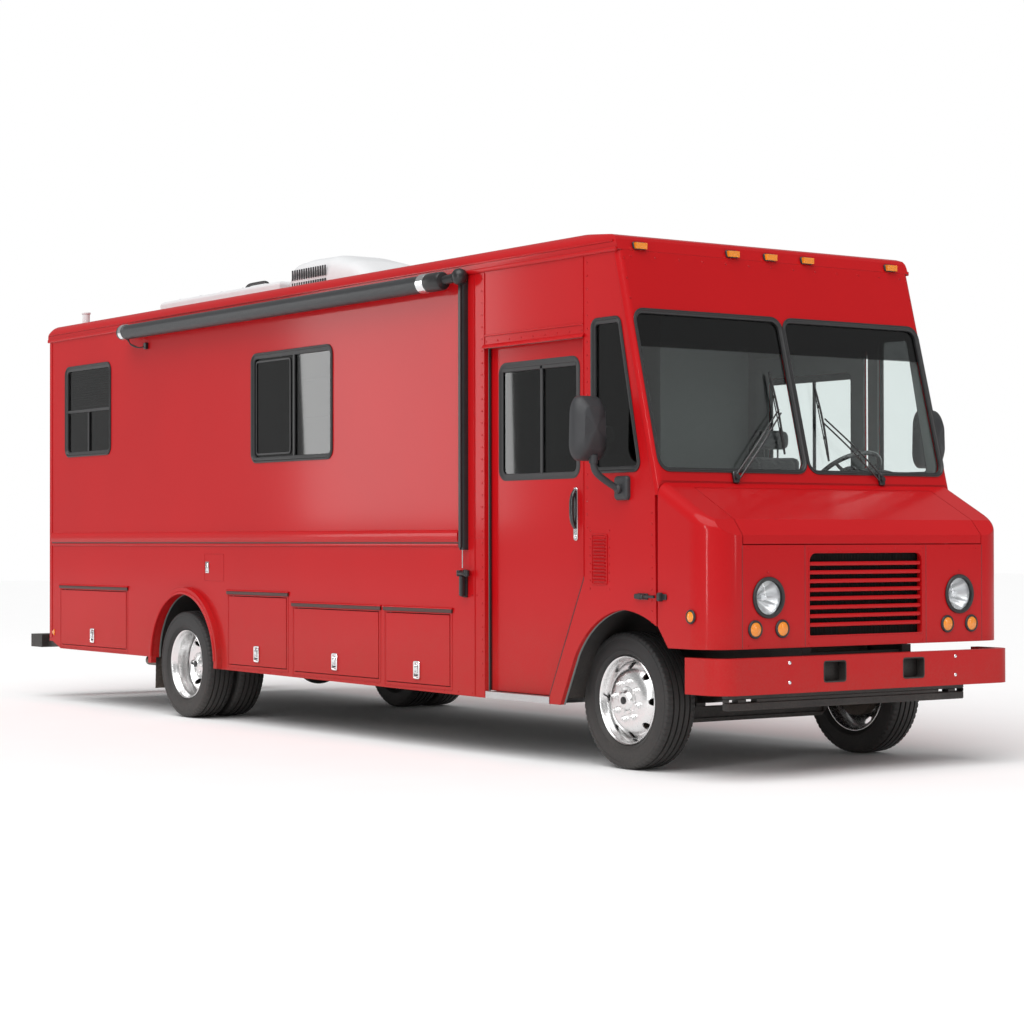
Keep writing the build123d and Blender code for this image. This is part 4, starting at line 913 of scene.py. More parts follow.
def windowBar(place, at, length, upright, depth):
    # rounded bar across a window, in front of the glass: at is its middle in the window's plane
    w, h = (window["bar"], length) if upright else (length, window["bar"])
    origin = np.array(place[0], float) + at[0] * place[1] + at[1] * place[2] - (depth - 0.001) * place[3]
    loop = roundLoop(w, h, min(w, h) * 0.3, 4)
    return capped(loop, [(0, 0), (0, 0.009), (-0.003, 0.012)], (origin, *place[1:]))


def sideWindowFrames(name, side):
    quarter, bigPane, rearPane = lumps("side_windows", 1, lambda c: c[0] * side > 0)
    shapes = []
    for low, high in (bigPane, rearPane):
        w, h = high[1] - low[1], high[2] - low[2]
        place = sidePlace(side, (low[1] + high[1]) / 2, (low[2] + high[2]) / 2)
        shapes.append(carried(roundLoop(w, h, window["corner"]), gasketProfile(0.012, 0.030, 0.012, 0.015), place))
        if w > 1.0:
            shapes.append(windowBar(place, (-0.03, 0), h - 0.05, True, 0.015))
            sash = carried(roundLoop(w / 2 - 0.06, h - 0.09, 0.03), [(0, 0), (0, 0.006), (-0.012, 0.006),
                           (-0.012, 0)], (np.array(place[0]) + axisY * (w / 4 - 0.005) - place[3] * 0.0155,
                           *place[1:]))
            shapes.append(sash)
        else:
            shapes.append(windowBar(place, (0, 0.0), w - 0.05, False, 0.015))
            shapes.append(windowBar(place, (0, -h / 4), h / 2 - 0.03, True, 0.015))
            blindSlats(name, side, low, high)
    makePiece(f"side_window_frames_{name}", joined(*shapes), rubber, "vehicle")
    rear, frontTop, frontLow2 = station(0.097), station(-0.160), station(-0.350)
    bottom, top = quarter[0][2], quarter[1][2]
    loop = cornerLoop([(rear, bottom), (rear, top), (frontTop, top), (frontLow2, bottom)], 0.045)
    place = ((side * wallX, 0, 0), axisY, axisZ, axisX * side)
    makePiece(f"quarter_window_frame_{name}", carried(loop, gasketProfile(0.013, 0.024, 0.011, 0.015), place),
              rubber, "vehicle")


def blindSlats(name, side, low, high):
    # slats across the upper half of the rear window, each tipped a little
    count, depth = 17, 0.020
    zs = np.linspace((low[2] + high[2]) / 2 + 0.02, high[2] - 0.03, count)
    x = side * (wallX - 0.055)
    slat = block((-depth / 2, low[1] + 0.02, -0.0007), (depth / 2, high[1] - 0.02, 0.0007), 0.0005)
    tip = radians(38) * side
    turn = np.array([[np.cos(tip), 0, np.sin(tip)], [0, 1, 0], [-np.sin(tip), 0, np.cos(tip)]])
    spots = np.stack([np.full(count, x), np.zeros(count), zs], -1)
    makePiece(f"rear_window_blind_{name}", copies(slat, spots, np.repeat(turn[None], count, 0)), whiteShell,
              "vehicle")


def doorWindowFrame(name, side, node, body):
    low, high = corner(node)
    w, h = high[1] - low[1], high[2] - low[2]
    place = sidePlace(side, (low[1] + high[1]) / 2, (low[2] + high[2]) / 2, doorFaceX)
    # at most 3 mm proud, so that the door slides into its pocket with 5 mm to spare
    ring = carried(roundLoop(w, h, window["corner"]), gasketProfile(0.013, 0.030, 0.003, 0.008), place)
    bar = windowBar(place, (-0.03, 0), h - 0.04, True, 0.0105)
    rail = windowBar(place, (0, h / 2 - 0.035), w - 0.05, False, 0.0105)
    makePiece(f"{name}_window_frame", joined(ring, bar, rail), rubber, body)


def screenFrames():
    shapes = []
    for low, high in lumps("windshields"):
        slope = (high[2] - low[2]) / frontUp[2]
        loop = roundLoop(high[0] - low[0], slope, 0.070)
        place = slantPlace((low[0] + high[0]) / 2, (low[2] + high[2]) / 2)
        shapes.append(carried(loop, gasketProfile(0.0115, 0.016, 0.010, 0.017), place))
    makePiece("windshield_gaskets", joined(*shapes), rubber, "vehicle")


for sideName, sideSign in sides.items():
    sideWindowFrames(sideName, sideSign)
doorWindowFrame("entry_door", -1, "entry_door_window", "entry_door")
doorWindowFrame("driver_door", 1, "driver_door_window", "driver_door")
screenFrames()
print("windows framed")


# ---- body trim

def trimAlong(side, profile, yStart, yEnd, z, x=None):
    # section (out, up) drawn along Y on one side
    place = ((side * (wallX if x is None else x), yStart, z), axisX * side, axisZ, axisY)
    return extruded(profile, place, yEnd - yStart)


def beltRail(name, side):
    rail = {"rise": 0.052, "out": 0.016, "startAt": 1.500}
    face = [(-0.001, rail["rise"]), (0.004, rail["rise"] - 0.002), (rail["out"] - 0.003, 0.034), (rail["out"], 0.026),
            (rail["out"], -0.010), (rail["out"] - 0.004, -0.018), (0.004, -0.026), (0.004, -0.036),
            (0.009, -0.038), (0.011, -0.046), (0.008, -0.054), (-0.001, -0.056)]
    makePiece(f"belt_rail_{name}", trimAlong(side, face, station(rail["startAt"]), wallRearY - 0.055, beltZ),
              redTrim, "vehicle", 50)
    # painted shadow: a dark strip set in the groove under the rail, where the rail's shadow falls
    groove = [(0.0038, -0.0265), (0.0052, -0.0265), (0.0052, -0.0355), (0.0038, -0.0355)]
    makePiece(f"belt_shadow_strip_{name}", trimAlong(side, groove, station(rail["startAt"]), wallRearY - 0.055,
              beltZ), dripAndShadowTrim, "vehicle")


def roofRails(name, side):
    # drip rail along the roof seam and a narrow bead above it
    drip = [(-0.001, 0.010), (0.006, 0.010), (0.010, 0.014), (0.012, 0.012), (0.012, -0.006), (0.008, -0.012),
            (-0.001, -0.012)]
    shape = trimAlong(side, drip, station(-0.14), wallRearY + 0.02, roofSeamZ + 0.004)
    bead = [(-0.001, 0.006), (0.004, 0.004), (0.005, 0.0), (0.004, -0.004), (-0.001, -0.006)]
    second = trimAlong(side, bead, station(-0.10), wallRearY + 0.02, roofSeamZ + 0.055)
    makePiece(f"roof_drip_rail_{name}", joined(shape, second), redTrim, "vehicle", 50)


def lockerTrim(name, side):
    # over each locker a dark drip strip under a painted lip, and a thin raised border round the door
    strip = {"over": 0.034, "deep": 0.020, "out": 0.012, "rise": 0.043}
    strips, lips, borders = [], [], []
    doors = [n for n in frame["nodes"] if n.startswith(f"locker_door_{name}")]
    for node in sorted(doors):
        low, high = corner(node)
        y0, y1, z = low[1] - strip["over"], high[1] + strip["over"], high[2] + strip["rise"] - 0.005
        flat = [(-0.001, 0.0), (strip["out"] - 0.002, 0.0), (strip["out"], -0.003), (strip["out"], -strip["deep"]),
                (strip["out"] - 0.004, -strip["deep"] - 0.004), (-0.001, -strip["deep"] - 0.004)]
        strips.append(trimAlong(side, flat, y0, y1, z))
        lip = [(-0.001, 0.012), (0.008, 0.010), (strip["out"] + 0.003, 0.004), (strip["out"] + 0.003, 0.0005),
               (-0.001, 0.0005)]
        lips.append(trimAlong(side, lip, y0 - 0.006, y1 + 0.006, z))
        loop = roundLoop(high[1] - low[1] + 0.052, high[2] - low[2] + 0.052, 0.006, 3)
        place = sidePlace(side, (low[1] + high[1]) / 2, (low[2] + high[2]) / 2)
        borders.append(carried(loop, [(0.004, -0.001), (0.003, 0.0022), (-0.003, 0.0022), (-0.004, -0.001)], place))
        lockerLatch(node, side, low, high)
    makePiece(f"locker_drip_strips_{name}", joined(*strips), dripAndShadowTrim, "vehicle", 50)
    makePiece(f"locker_lips_{name}", joined(*lips, *borders), redTrim, "vehicle", 50)


def lockerLatch(node, side, low, high):
    # paddle latch: bezel carried round a rounded rectangle, dished tray and a raised paddle
    latch = {"width": 0.070, "height": 0.115, "up": 0.0825, "radius": 0.012}
    face = wallX + 0.009
    place = sidePlace(side, (low[1] + high[1]) / 2, low[2] + latch["up"] - 0.005 + 0.01, face)
    loop = roundLoop(latch["width"], latch["height"], latch["radius"])
    bezel = carried(loop, [(0.001, -0.006), (0.001, 0.003), (-0.002, 0.006), (-0.008, 0.006), (-0.011, 0.002),
                           (-0.012, -0.001), (-0.012, -0.006)], place)
    inner = roundLoop(latch["width"] - 0.024, latch["height"] - 0.024, 0.006)
    tray = capped(inner, [(0.001, -0.004), (0.001, -0.0005), (-0.004, 0.0003)], place)
    origin = np.array(place[0]) + axisZ * 0.006
    paddle = capped(roundLoop(0.026, 0.058, 0.006), [(0, 0), (0, 0.008), (-0.003, 0.011), (-0.010, 0.012)],
                    (origin, *place[1:]))
    makePiece(f"{node}_latch", joined(bezel, tray, paddle), chrome, node)
    pivot = capped(circleLoop(0.006, 14), [(0, 0), (0, 0.013), (-0.002, 0.014)],
                   (np.array(place[0]) - axisZ * 0.034, *place[1:]))
    makePiece(f"{node}_lock_core", pivot, glossBlack, node)


def rearCorner(name, side):
    # upright corner cap: a quarter round drawn up the rear corner of the wall
    a = np.linspace(0, np.pi / 2, 8)
    arc = np.stack([0.004 - 0.034 * (1 - np.cos(a)), 0.006 + 0.0 * a + 0.034 * np.sin(a) - 0.034], -1)
    low, high = 0.53, roofSeamZ - 0.012
    outer = np.stack([arc[:, 0], arc[:, 1] + 0.004], -1)
    flange = [(0.004, -0.055), (-0.0005, -0.055), (-0.0005, -0.030), (-0.034, 0.0005), (-0.055, 0.0005),
              (-0.055, 0.004)]
    section = np.concatenate([outer, flange[::-1]])
    place = ((side * wallX, wallRearY, low), axisX * side, axisY, axisZ)
    cap = extruded(section, place, high - low)
    makePiece(f"rear_corner_cap_{name}", cap, redTrim, "vehicle", 40)
    # amber reflector: its lens material glows a little, painted light on a part that is no lamp
    reflector = capped(circleLoop(0.030, 3), [(0, 0), (0, 0.005), (-0.006, 0.009)],
                       sidePlace(side, wallRearY - 0.085, 0.575))
    makePiece(f"rear_reflector_{name}", reflector, amberLens, "vehicle")


def doorway(name, side):
    # painted mouldings round the cab doorway: bead under the upper panel, drip lip over the door, jamb strips
    look = {"beadZ": 2.622, "lipZ": 2.548}
    y0, y1 = station(0.185), station(1.206)
    bead = [(-0.001, 0.007), (0.006, 0.005), (0.008, 0.0), (0.006, -0.005), (-0.001, -0.007)]
    lip = [(-0.001, 0.020), (0.006, 0.016), (0.016, 0.002), (0.017, -0.006), (0.012, -0.006), (0.010, 0.000),
           (-0.001, 0.006)]
    shapes = [trimAlong(side, bead, y0, y1 + 0.01, look["beadZ"]), trimAlong(side, lip, y0 - 0.01, y1 + 0.015,
              look["lipZ"])]
    edge = [(-0.001, -0.004), (0.004, -0.003), (0.005, 0.0), (0.004, 0.003), (-0.001, 0.004)]
    for y, low, high in ((y0, 1.13, roofSeamZ - 0.014), (y1 + 0.004, 0.37, roofSeamZ - 0.014),
                         (y1 + 0.115, 0.37, roofSeamZ - 0.014)):
        place = ((side * wallX, y, low), axisX * side, axisY, axisZ)
        shapes.append(extruded(edge, place, high - low))
    makePiece(f"doorway_mouldings_{name}", joined(*shapes), redTrim, "vehicle", 50)
    edgePath = np.array([(0.191, 2.535), (0.191, 1.60), (0.191, 1.117), (0.352, 0.787), (0.533, 0.412)])
    points = np.c_[np.full(5, side * (wallX - 0.006)), station(edgePath[:, 0]), edgePath[:, 1]]
    front = tube(points, 0.0052, 8, axisX)
    # on the jamb's edge, inside the wall's own thickness
    seal = [(0.0, -0.004), (0.010, -0.004), (0.010, 0.004), (0.0, 0.004)]
    low, high = 0.41, 2.54
    place = ((side * (wallX - 0.0402), y1 - 0.0045, low), axisX * side, axisY, axisZ)
    makePiece(f"doorway_seal_{name}", joined(front, extruded(seal, place, high - low)), rubber, "vehicle")


def louvreVent(name, side):
    # pressed vent: a raised border and slats, each a small slanted shelf
    vent = {"front": -0.040, "rear": 0.105, "low": 1.087, "high": 1.379, "slats": 13}
    y0, y1 = station(vent["front"]), station(vent["rear"])
    place = sidePlace(side, (y0 + y1) / 2, (vent["low"] + vent["high"]) / 2)
    border = carried(roundLoop(y1 - y0, vent["high"] - vent["low"], 0.010), [(0.004, -0.001), (0.002, 0.005),
                     (-0.005, 0.005), (-0.008, -0.001)], place)
    shelf = [(-0.001, 0.006), (0.002, 0.005), (0.009, -0.004), (0.008, -0.006), (-0.001, -0.003)]
    one = extruded(shelf, ((0, y0 + 0.016, 0), axisX * side, axisZ, axisY), y1 - y0 - 0.032)
    zs = np.linspace(vent["low"] + 0.024, vent["high"] - 0.024, vent["slats"])
    slats = copies(one, np.stack([np.full(len(zs), side * wallX), np.zeros(len(zs)), zs], -1))
    makePiece(f"louvre_vent_{name}", joined(border, slats), redTrim, "vehicle", 50)


def rivets(name, side):
    x, out = side * wallX, axisX * side
    rows = [
        rivetRow((x, station(1.24), 0.50), (x, station(1.24), 2.98), 0.075, out),
        rivetRow((x, station(0.150), 1.42), (x, station(0.150), 2.98), 0.075, out),
        rivetRow((x, station(-0.455), 0.88), (x, station(-0.455), 1.50), 0.060, out),
        rivetRow((x, station(0.125), 1.06), (x, station(0.125), 1.40), 0.048, out),
        rivetRow((x, station(-0.060), 1.06), (x, station(-0.060), 1.40), 0.048, out),
        rivetRow((x, station(1.40), 1.00), (x, station(1.30), 1.00), 0.05, out),
        rivetRow((x, station(1.60), beltZ + 0.018), (x, wallRearY - 0.10, beltZ + 0.018), 0.30, out, 0.004, 0.018),
        rivetRow((x, station(0.20), 2.585), (x, station(1.19), 2.585), 0.12, out),
        rivetRow((x, wallRearY - 0.045, 0.62), (x, wallRearY - 0.045, 2.98), 0.15, out, 0.005, 0.007),
        rivetRow((x, station(1.35), 0.385), (x, station(4.40), 0.405), 0.16, out),
    ]
    makePiece(f"rivets_{name}", joined(*rows), redTrim, "vehicle", 60)


def archTrim(name, side):
    # rolled lip round the rear arch: a half-round section turned about the axle over the top half
    a = np.radians(np.linspace(2, 178, 60))
    section = np.array([(0.508, 0.030), (0.508, 0.047), (0.518, 0.052), (0.530, 0.049), (0.534, 0.040)])
    local = np.stack([section[None, :, 0] * np.cos(a)[:, None], section[None, :, 0] * np.sin(a)[:, None],
                      np.broadcast_to(section[None, :, 1], (60, 5))], -1)
    place = sidePlace(side, rearAxleY, axleZ + 0.025)
    points = toWorld(local, place).reshape(-1, 3)
    ends = [np.arange(5)[None, ::-1], (np.arange(5) + 59 * 5)[None]]
    makePiece(f"rear_arch_lip_{name}", (points, [gridFaces(60, 5, False, True)] + ends), redTrim, "vehicle",
              50)
    # dark tub above the twin wheels, a half cylinder shell
    section = [(0.522, -0.040), (0.522, -0.52), (0.527, -0.52), (0.527, -0.040)]
    section = np.array(section)
    local = np.stack([section[None, :, 0] * np.cos(a)[:, None], section[None, :, 0] * np.sin(a)[:, None],
                      np.broadcast_to(section[None, :, 1], (60, 4))], -1)
    points = toWorld(local, place).reshape(-1, 3)
    ends = [np.arange(4)[None, ::-1], (np.arange(4) + 59 * 4)[None]]
    makePiece(f"rear_wheel_tub_{name}", (points, [gridFaces(60, 4, False, True)] + ends), blackSteel, "vehicle",
              50)


def frontTub(name, side):
    # dark inner wing over the front wheel, its section following the arch
    path = [(0.40, 0.40), (0.275, 0.66), (0.19, 0.78), (0.06, 0.90), (-0.08, 0.955), (-0.22, 0.955), (-0.36, 0.925),
            (-0.47, 0.87)]
    curve = smoothPath([(s, z, 0.0) for s, z in path], 36)[:, :2]
    inner, outer = 0.46, wallX - 0.042
    thick = 0.006
    top = np.stack([np.full(36, side * outer), axleY + curve[:, 0], curve[:, 1]], -1)
    rows = np.stack([top, top + (side * (inner - outer), 0, 0), top + (side * (inner - outer), 0, thick),
                     top + (0, 0, thick)], 1)
    ends = [np.arange(4)[None, ::-1], (np.arange(4) + 35 * 4)[None]]
    makePiece(f"front_wheel_tub_{name}", (rows.reshape(-1, 3), [gridFaces(36, 4, False, True)] + ends), blackSteel,
              "vehicle", 50)


for sideName, sideSign in sides.items():
    beltRail(sideName, sideSign)
    roofRails(sideName, sideSign)
    lockerTrim(sideName, sideSign)
    rearCorner(sideName, sideSign)
    doorway(sideName, sideSign)
    louvreVent(sideName, sideSign)
    rivets(sideName, sideSign)
    archTrim(sideName, sideSign)
    frontTub(sideName, sideSign)
print("body trim made")


# ---- doors

def doorHandle(name, side, body):
    # bright back plate with rounded ends and a black bowed grip standing off it
    # far enough forward that it stays ahead of the rear jamb when the door is fully open
    grip = {"at": 0.320, "low": 1.342, "high": 1.660, "width": 0.040}
    x = doorFaceX + 0.006
    place = sidePlace(side, station(grip["at"]), (grip["low"] + grip["high"]) / 2, x)
    plate = capped(roundLoop(grip["width"], grip["high"] - grip["low"], 0.018), [(0, -0.005), (0, 0.002),
                   (-0.002, 0.004)], place)
    makePiece(f"{name}_handle_plate", plate, chrome, body)
    t = np.linspace(-1, 1, 24)
    bow = 0.006 + 0.026 * (1 - np.abs(t) ** 3.5)
    path = np.stack([side * (x + bow), np.full(24, station(grip["at"])), 1.530 + 0.112 * t], -1)
    width = 0.0125 - 0.003 * np.abs(t) ** 4
    pad = capped(roundLoop(0.032, 0.236, 0.014), [(0, 0), (0, 0.004), (-0.002, 0.006)],
                 sidePlace(side, station(grip["at"]), 1.530, x + 0.003))
    makePiece(f"{name}_grip", joined(tube(path, width, 14, axisY, 1.35), pad), glossBlack, body)
    keySpot = sidePlace(side, station(grip["at"]), 1.366, x + 0.003)
    lock = capped(circleLoop(0.011, 20), [(0, 0), (0, 0.005), (-0.002, 0.006), (-0.007, 0.0055)], keySpot)
    makePiece(f"{name}_lock", lock, chrome, body)


doorHandle("entry_door", -1, "entry_door")
doorHandle("driver_door", 1, "driver_door")


def stepTreads():
    # ribbed tread strips: many small bars on the outer step and sill
    for name, side in sides.items():
        outer = side * (wallX - 0.002)
        ys = np.arange(station(0.56), station(1.19), 0.022)
        bar = block((-0.145, -0.006, 0), (0.145, 0.006, 0.004), 0.0015)
        spots = np.stack([np.full(len(ys), outer - side * 0.160), ys, np.full(len(ys), 0.4015)], -1)
        makePiece(f"step_tread_{name}", copies(bar, spots), rubber, "vehicle")
        nosing = [(0.003, -0.036), (0.003, 0.004), (-0.002, 0.0075), (-0.012, 0.0075), (-0.012, 0.003),
                  (-0.001, 0.002), (-0.001, -0.036)]
        place = ((side * wallX, station(0.530), 0.400), axisX * side, axisZ, axisY)
        makePiece(f"step_nosing_{name}", extruded(nosing, place, 0.672), stepMetal, "vehicle", 50)


stepTreads()


def rearDetails():
    # blank plate in its frame, door edge seals, tail lamp rims and the rear drip rail
    y = wallRearY
    place = ((0.42, y + 0.0045, 1.20), axisX, axisZ, axisY)
    plate = capped(roundLoop(0.305, 0.152, 0.012), [(0, 0), (0, 0.002), (-0.001, 0.003)], place)
    makePiece("blank_plate", plate, whiteShell, "rear_door_left")
    rim = carried(roundLoop(0.318, 0.165, 0.014), [(0.004, 0), (0.004, 0.005), (-0.006, 0.006), (-0.007, 0)], place)
    makePiece("blank_plate_frame", rim, chrome, "rear_door_left")
    for name, side in sides.items():
        low, high = corner(f"rear_door_{name}")
        mid = side * 0.380
        edge = ((mid, y + 0.004, (low[2] + high[2]) / 2), axisX, axisZ, axisY)
        seal = carried(roundLoop(0.735, high[2] - low[2] - 0.02, 0.02), [(0.003, -0.001), (0.003, 0.003),
                       (-0.006, 0.003), (-0.006, -0.001)], edge)
        makePiece(f"rear_door_seal_{name}", seal, rubber, f"rear_door_{name}")
        pane = ((mid, y + 0.0042, 2.25), axisX, axisZ, axisY)
        panel = carried(roundLoop(0.50, 0.62, 0.06), [(0.006, -0.001), (0.004, 0.005), (-0.004, 0.005),
                        (-0.006, -0.001)], pane)
        lower = carried(roundLoop(0.56, 0.72, 0.03), [(0.006, -0.001), (0.004, 0.004), (-0.004, 0.004),
                        (-0.006, -0.001)], ((mid, y + 0.0042, 1.42), axisX, axisZ, axisY))
        makePiece(f"rear_door_pressings_{name}", joined(panel, lower), redTrim, f"rear_door_{name}", 50)
    rims, lenses = [], []
    for name, side in sides.items():
        lowLamp, highLamp = lumps("body_lamps", 2, lambda c: c[0] * side > 0.5 and c[1] > 1)[0]
        mid = (lowLamp + highLamp) / 2
        w, h = highLamp[0] - lowLamp[0], highLamp[2] - lowLamp[2]
        base = ((mid[0], y, mid[2]), axisX, axisZ, axisY)
        rims.append(carried(roundLoop(w, h, 0.012), [(0.012, -0.001), (0.012, 0.012), (0.006, 0.018), (-0.001, 0.018),
                            (-0.001, -0.001)], base))
        reverse = ((mid[0], highLamp[1], mid[2] - h / 3), axisX, axisZ, axisY)
        lenses.append(capped(roundLoop(w - 0.02, h / 4, 0.008), [(0, -0.002), (0, 0.003), (-0.004, 0.006)], reverse))
    makePiece("tail_lamp_rims", joined(*rims), rubber, "vehicle")
    makePiece("reversing_lenses", joined(*lenses), clearLens, "vehicle")
    rail = [(-0.001, 0.010), (0.010, 0.012), (0.012, -0.006), (0.008, -0.012), (-0.001, -0.012)]
    place = ((-wallX + 0.03, y + 0.036, roofSeamZ + 0.004), axisY, axisZ, axisX)
    makePiece("rear_drip_rail", extruded(rail, place, 2 * wallX - 0.06), redTrim, "vehicle", 50)
    rows = [rivetRow((side * s, y, 0.62), (side * s, y, 2.95), 0.11, axisY) for side in (-1, 1) for s in (0.83, 1.10)]
    makePiece("rivets_rear", joined(*rows), redTrim, "vehicle", 60)


rearDetails()


def sideCatch():
    # small bright access catch on the right lower wall
    place = sidePlace(-1, station(4.87), 1.145)
    bezel = carried(roundLoop(0.055, 0.085, 0.006), [(0, -0.001), (0, 0.006), (-0.004, 0.008), (-0.010, 0.008),
                    (-0.010, -0.001)], place)
    tongue = capped(roundLoop(0.034, 0.062, 0.004), [(0, -0.001), (0, 0.004), (-0.004, 0.006)], place)
    makePiece("side_catch", joined(bezel, tongue), chrome, "vehicle")
    panel = carried(roundLoop(0.30, 0.20, 0.006, 3), [(0.001, -0.0008), (0.001, 0.0012), (-0.001, 0.0012),
                    (-0.001, -0.0008)], sidePlace(-1, station(4.77), 1.145))
    makePiece("side_catch_panel", panel, redTrim, "vehicle")


sideCatch()
print("doors and rear made")


# ---- nose

lampAt = [sideBox("headlamps", s) for s in (-1, 1)]
turnAt = lumps("turn_lamps")


def headlamps():
    rings, bowls, lenses, bulbs = [], [], [], []
    for low, high in lampAt:
        mid = (low + high) / 2
        place = nosePlace(mid[0], mid[2])
        radius = (high[0] - low[0]) / 2
        glass = radius - 0.021
        rings.append(turned([(radius, 0.0005), (radius, 0.008), (radius - 0.004, 0.013), (radius - 0.012, 0.014),
                             (glass, 0.010), (glass - 0.002, -0.004), (glass - 0.002, -0.030), (glass + 0.001, -0.030),
                             (glass + 0.001, 0.0005)], place, 72))
        r = np.linspace(glass - 0.001, 0.012, 14)
        depth = -0.012 - 0.062 * (1 - (r / glass) ** 2)
        back = [(a, b - 0.003) for a, b in zip(r[::-1], depth[::-1])]
        bowls.append(turned(list(zip(r, depth)) + back, place, 72))
        r = np.linspace(glass - 0.0005, 0.0, 10)
        bulge = -0.004 + 0.016 * (1 - (r / glass) ** 2)
        lenses.append(capped(circleLoop(0.0, 72), [(glass - 0.0005, -0.010)] + list(zip(r, bulge)), place))
        bulbs.append(turned([(0.0, -0.030), (0.012, -0.031), (0.018, -0.036), (0.018, -0.046), (0.012, -0.066),
                             (0.0, -0.068)], place, 24, False))
    makePiece("headlamp_rings", joined(*rings), rubber, "nose", replaced=["headlamps"])
    makePiece("headlamp_reflectors", joined(*bowls), reflectorMaterial(), "nose", 60)
    makePiece("headlamp_lenses", joined(*lenses), clearLens, "nose", 60)
    makePiece("headlamp_bulbs", joined(*bulbs), chrome, "nose")


def reflectorMaterial():
    # bright bowl with radial facets: a wave of the angle about each lamp's own middle bumps the facets, and also paints
    # them in turn light and dark, a painted reflection of bright and dark wedges
    material, tree, shader, where = newMaterial("lampReflector")
    xyz = addNode(tree, "SeparateXYZ", None, Vector=where)
    mid = (lampAt[1][0] + lampAt[1][1]) / 2
    across = math(tree, "SUBTRACT", math(tree, "ABSOLUTE", xyz.outputs[0]), float(mid[0]))
    upward = math(tree, "SUBTRACT", xyz.outputs[2], float(mid[2]))
    angle = math(tree, "ARCTAN2", upward, across)
    wave = math(tree, "SINE", math(tree, "MULTIPLY", angle, 7.0))
    # painted reflection: the wave colours the facets alternately light and dark
    shade = mixColour(tree, math(tree, "MULTIPLY_ADD", wave, 0.5), rgb(0.97, 0.98, 0.98), rgb(0.70, 0.71, 0.72))
    shade.node.inputs[0].links[0].from_node.inputs[2].default_value = 0.5
    bump = addNode(tree, "Bump", None, Height=wave, Distance=0.004)
    tree.links.new(shade, shader.inputs["Base Color"])
    tree.links.new(bump.outputs[0], shader.inputs["Normal"])
    shader.inputs["Metallic"].default_value = 0.55
    shader.inputs["Roughness"].default_value = 0.30
    return material


def turnLamps():
    rings, lenses = [], []
    for low, high in turnAt:
        mid = (low + high) / 2
        if high[0] - low[0] > 0.05:
            radius, place = (high[0] - low[0]) / 2, nosePlace(mid[0], mid[2])
        else:
            radius, place = (high[1] - low[1]) / 2, sidePlace(np.sign(mid[0]), mid[1], mid[2])
        glass = 0.76 * radius
        rings.append(turned([(radius, 0.0004), (radius, 0.006), (radius - 0.003, 0.010), (glass + 0.001, 0.011),
                             (glass - 0.001, 0.007), (glass - 0.001, 0.0004)], place, 48))
        r = np.linspace(glass, 0.0, 8)
        lenses.append(capped(circleLoop(0.0, 48), [(glass, 0.001)] + list(zip(r, 0.008 + 0.010 * (1 - (r / glass) ** 2))),
                             place))
    makePiece("turn_lamp_rings", joined(*rings), rubber, "nose", replaced=["turn_lamps"])
    makePiece("turn_lamp_lenses", joined(*lenses), amberLens, "nose", 60)


def grille():
    # slats with a rounded front edge across a rounded opening, with the radiator's core behind
    low, high = corner("grille")
    half, bottom, top = high[0], low[2], high[2]
    count = 8
    pitch = (top - bottom - 0.024) / (count + 1)
    zs = bottom + 0.012 + pitch * np.arange(1, count + 1)
    t = pitch * 0.24
    nose = [(0.0, -t), (-0.005, -t * 0.8), (-0.0075, 0.0), (-0.005, t * 0.8), (0.0, t), (0.030, t * 0.9),
            (0.030, -t * 0.9)]
    slat = extruded(nose, ((-half + 0.006, noseY + 0.012, 0), axisY, axisZ, axisX), 2 * half - 0.012)
    slats = copies(slat, np.stack([np.zeros(count), np.zeros(count), zs], -1))
    # border between a nearly square outer loop and an inner one with rounded corners
    place = nosePlace(0, (bottom + top) / 2)
    outer = roundLoop(2 * half + 0.014, top - bottom + 0.014, 0.010)[0]
    inner = roundLoop(2 * half - 0.004, top - bottom - 0.004, 0.045)[0]
    inner = np.where(inner[:, 1:] < 0, roundLoop(2 * half - 0.004, top - bottom - 0.004, 0.010)[0], inner)
    rings = ((outer, -0.0005), (outer, 0.0012), (inner, 0.0012), (inner, -0.018), (outer, -0.018))
    local = np.stack([np.c_[loop, np.full(len(loop), h)] for loop, h in rings], 1)
    panel = (toWorld(local, place).reshape(-1, 3), [gridFaces(len(outer), 5, True, True)])
    makePiece("grille_slats", joined(slats, panel), redTrim, "nose", 40, replaced=["grille"])
    xs = np.arange(-half + 0.01, half, 0.012)
    fin = block((-0.0008, noseY + 0.050, bottom), (0.0008, noseY + 0.056, top), 0.0003)
    fins = copies(fin, np.stack([xs, np.zeros(len(xs)), np.zeros(len(xs))], -1))
    core = block((-half - 0.09, noseY + 0.055, bottom - 0.05), (half + 0.09, noseY + 0.061, top + 0.03), 0.002)
    makePiece("radiator_core", joined(core, fins), darkVoid, "nose")


def panelSeams():
    # thin dark seams beside the front panel and beside the grille panel
    look = {"sideX": 0.945, "grilleX": 0.478, "low": 0.742, "high": 1.314, "width": 0.0028}
    seams = [block((s * look[k] - look["width"] / 2, noseY - 0.0006, look["low"]),
                   (s * look[k] + look["width"] / 2, noseY + 0.001, look["high"]), 0.0002)
             for s in (-1, 1) for k in ("sideX", "grilleX")]
    makePiece("nose_panel_seams", joined(*seams), glossBlack, "nose")
    screws = [rivetRow((-0.90, noseY, 1.296), (0.90, noseY, 1.296), 0.225, -axisY, 0.005, 0.002)]
    for s in (-1, 1):
        screws.append(rivetRow((s * 0.753, noseY, 1.165), (s * 0.76, noseY, 1.165), 0.02, -axisY, 0.004, 0.002))
        screws.append(rivetRow((s * 0.45, noseY, 0.758), (s * 0.90, noseY, 0.758), 0.44, -axisY, 0.005, 0.002))
    makePiece("nose_screws", joined(*screws), redTrim, "nose", 60)


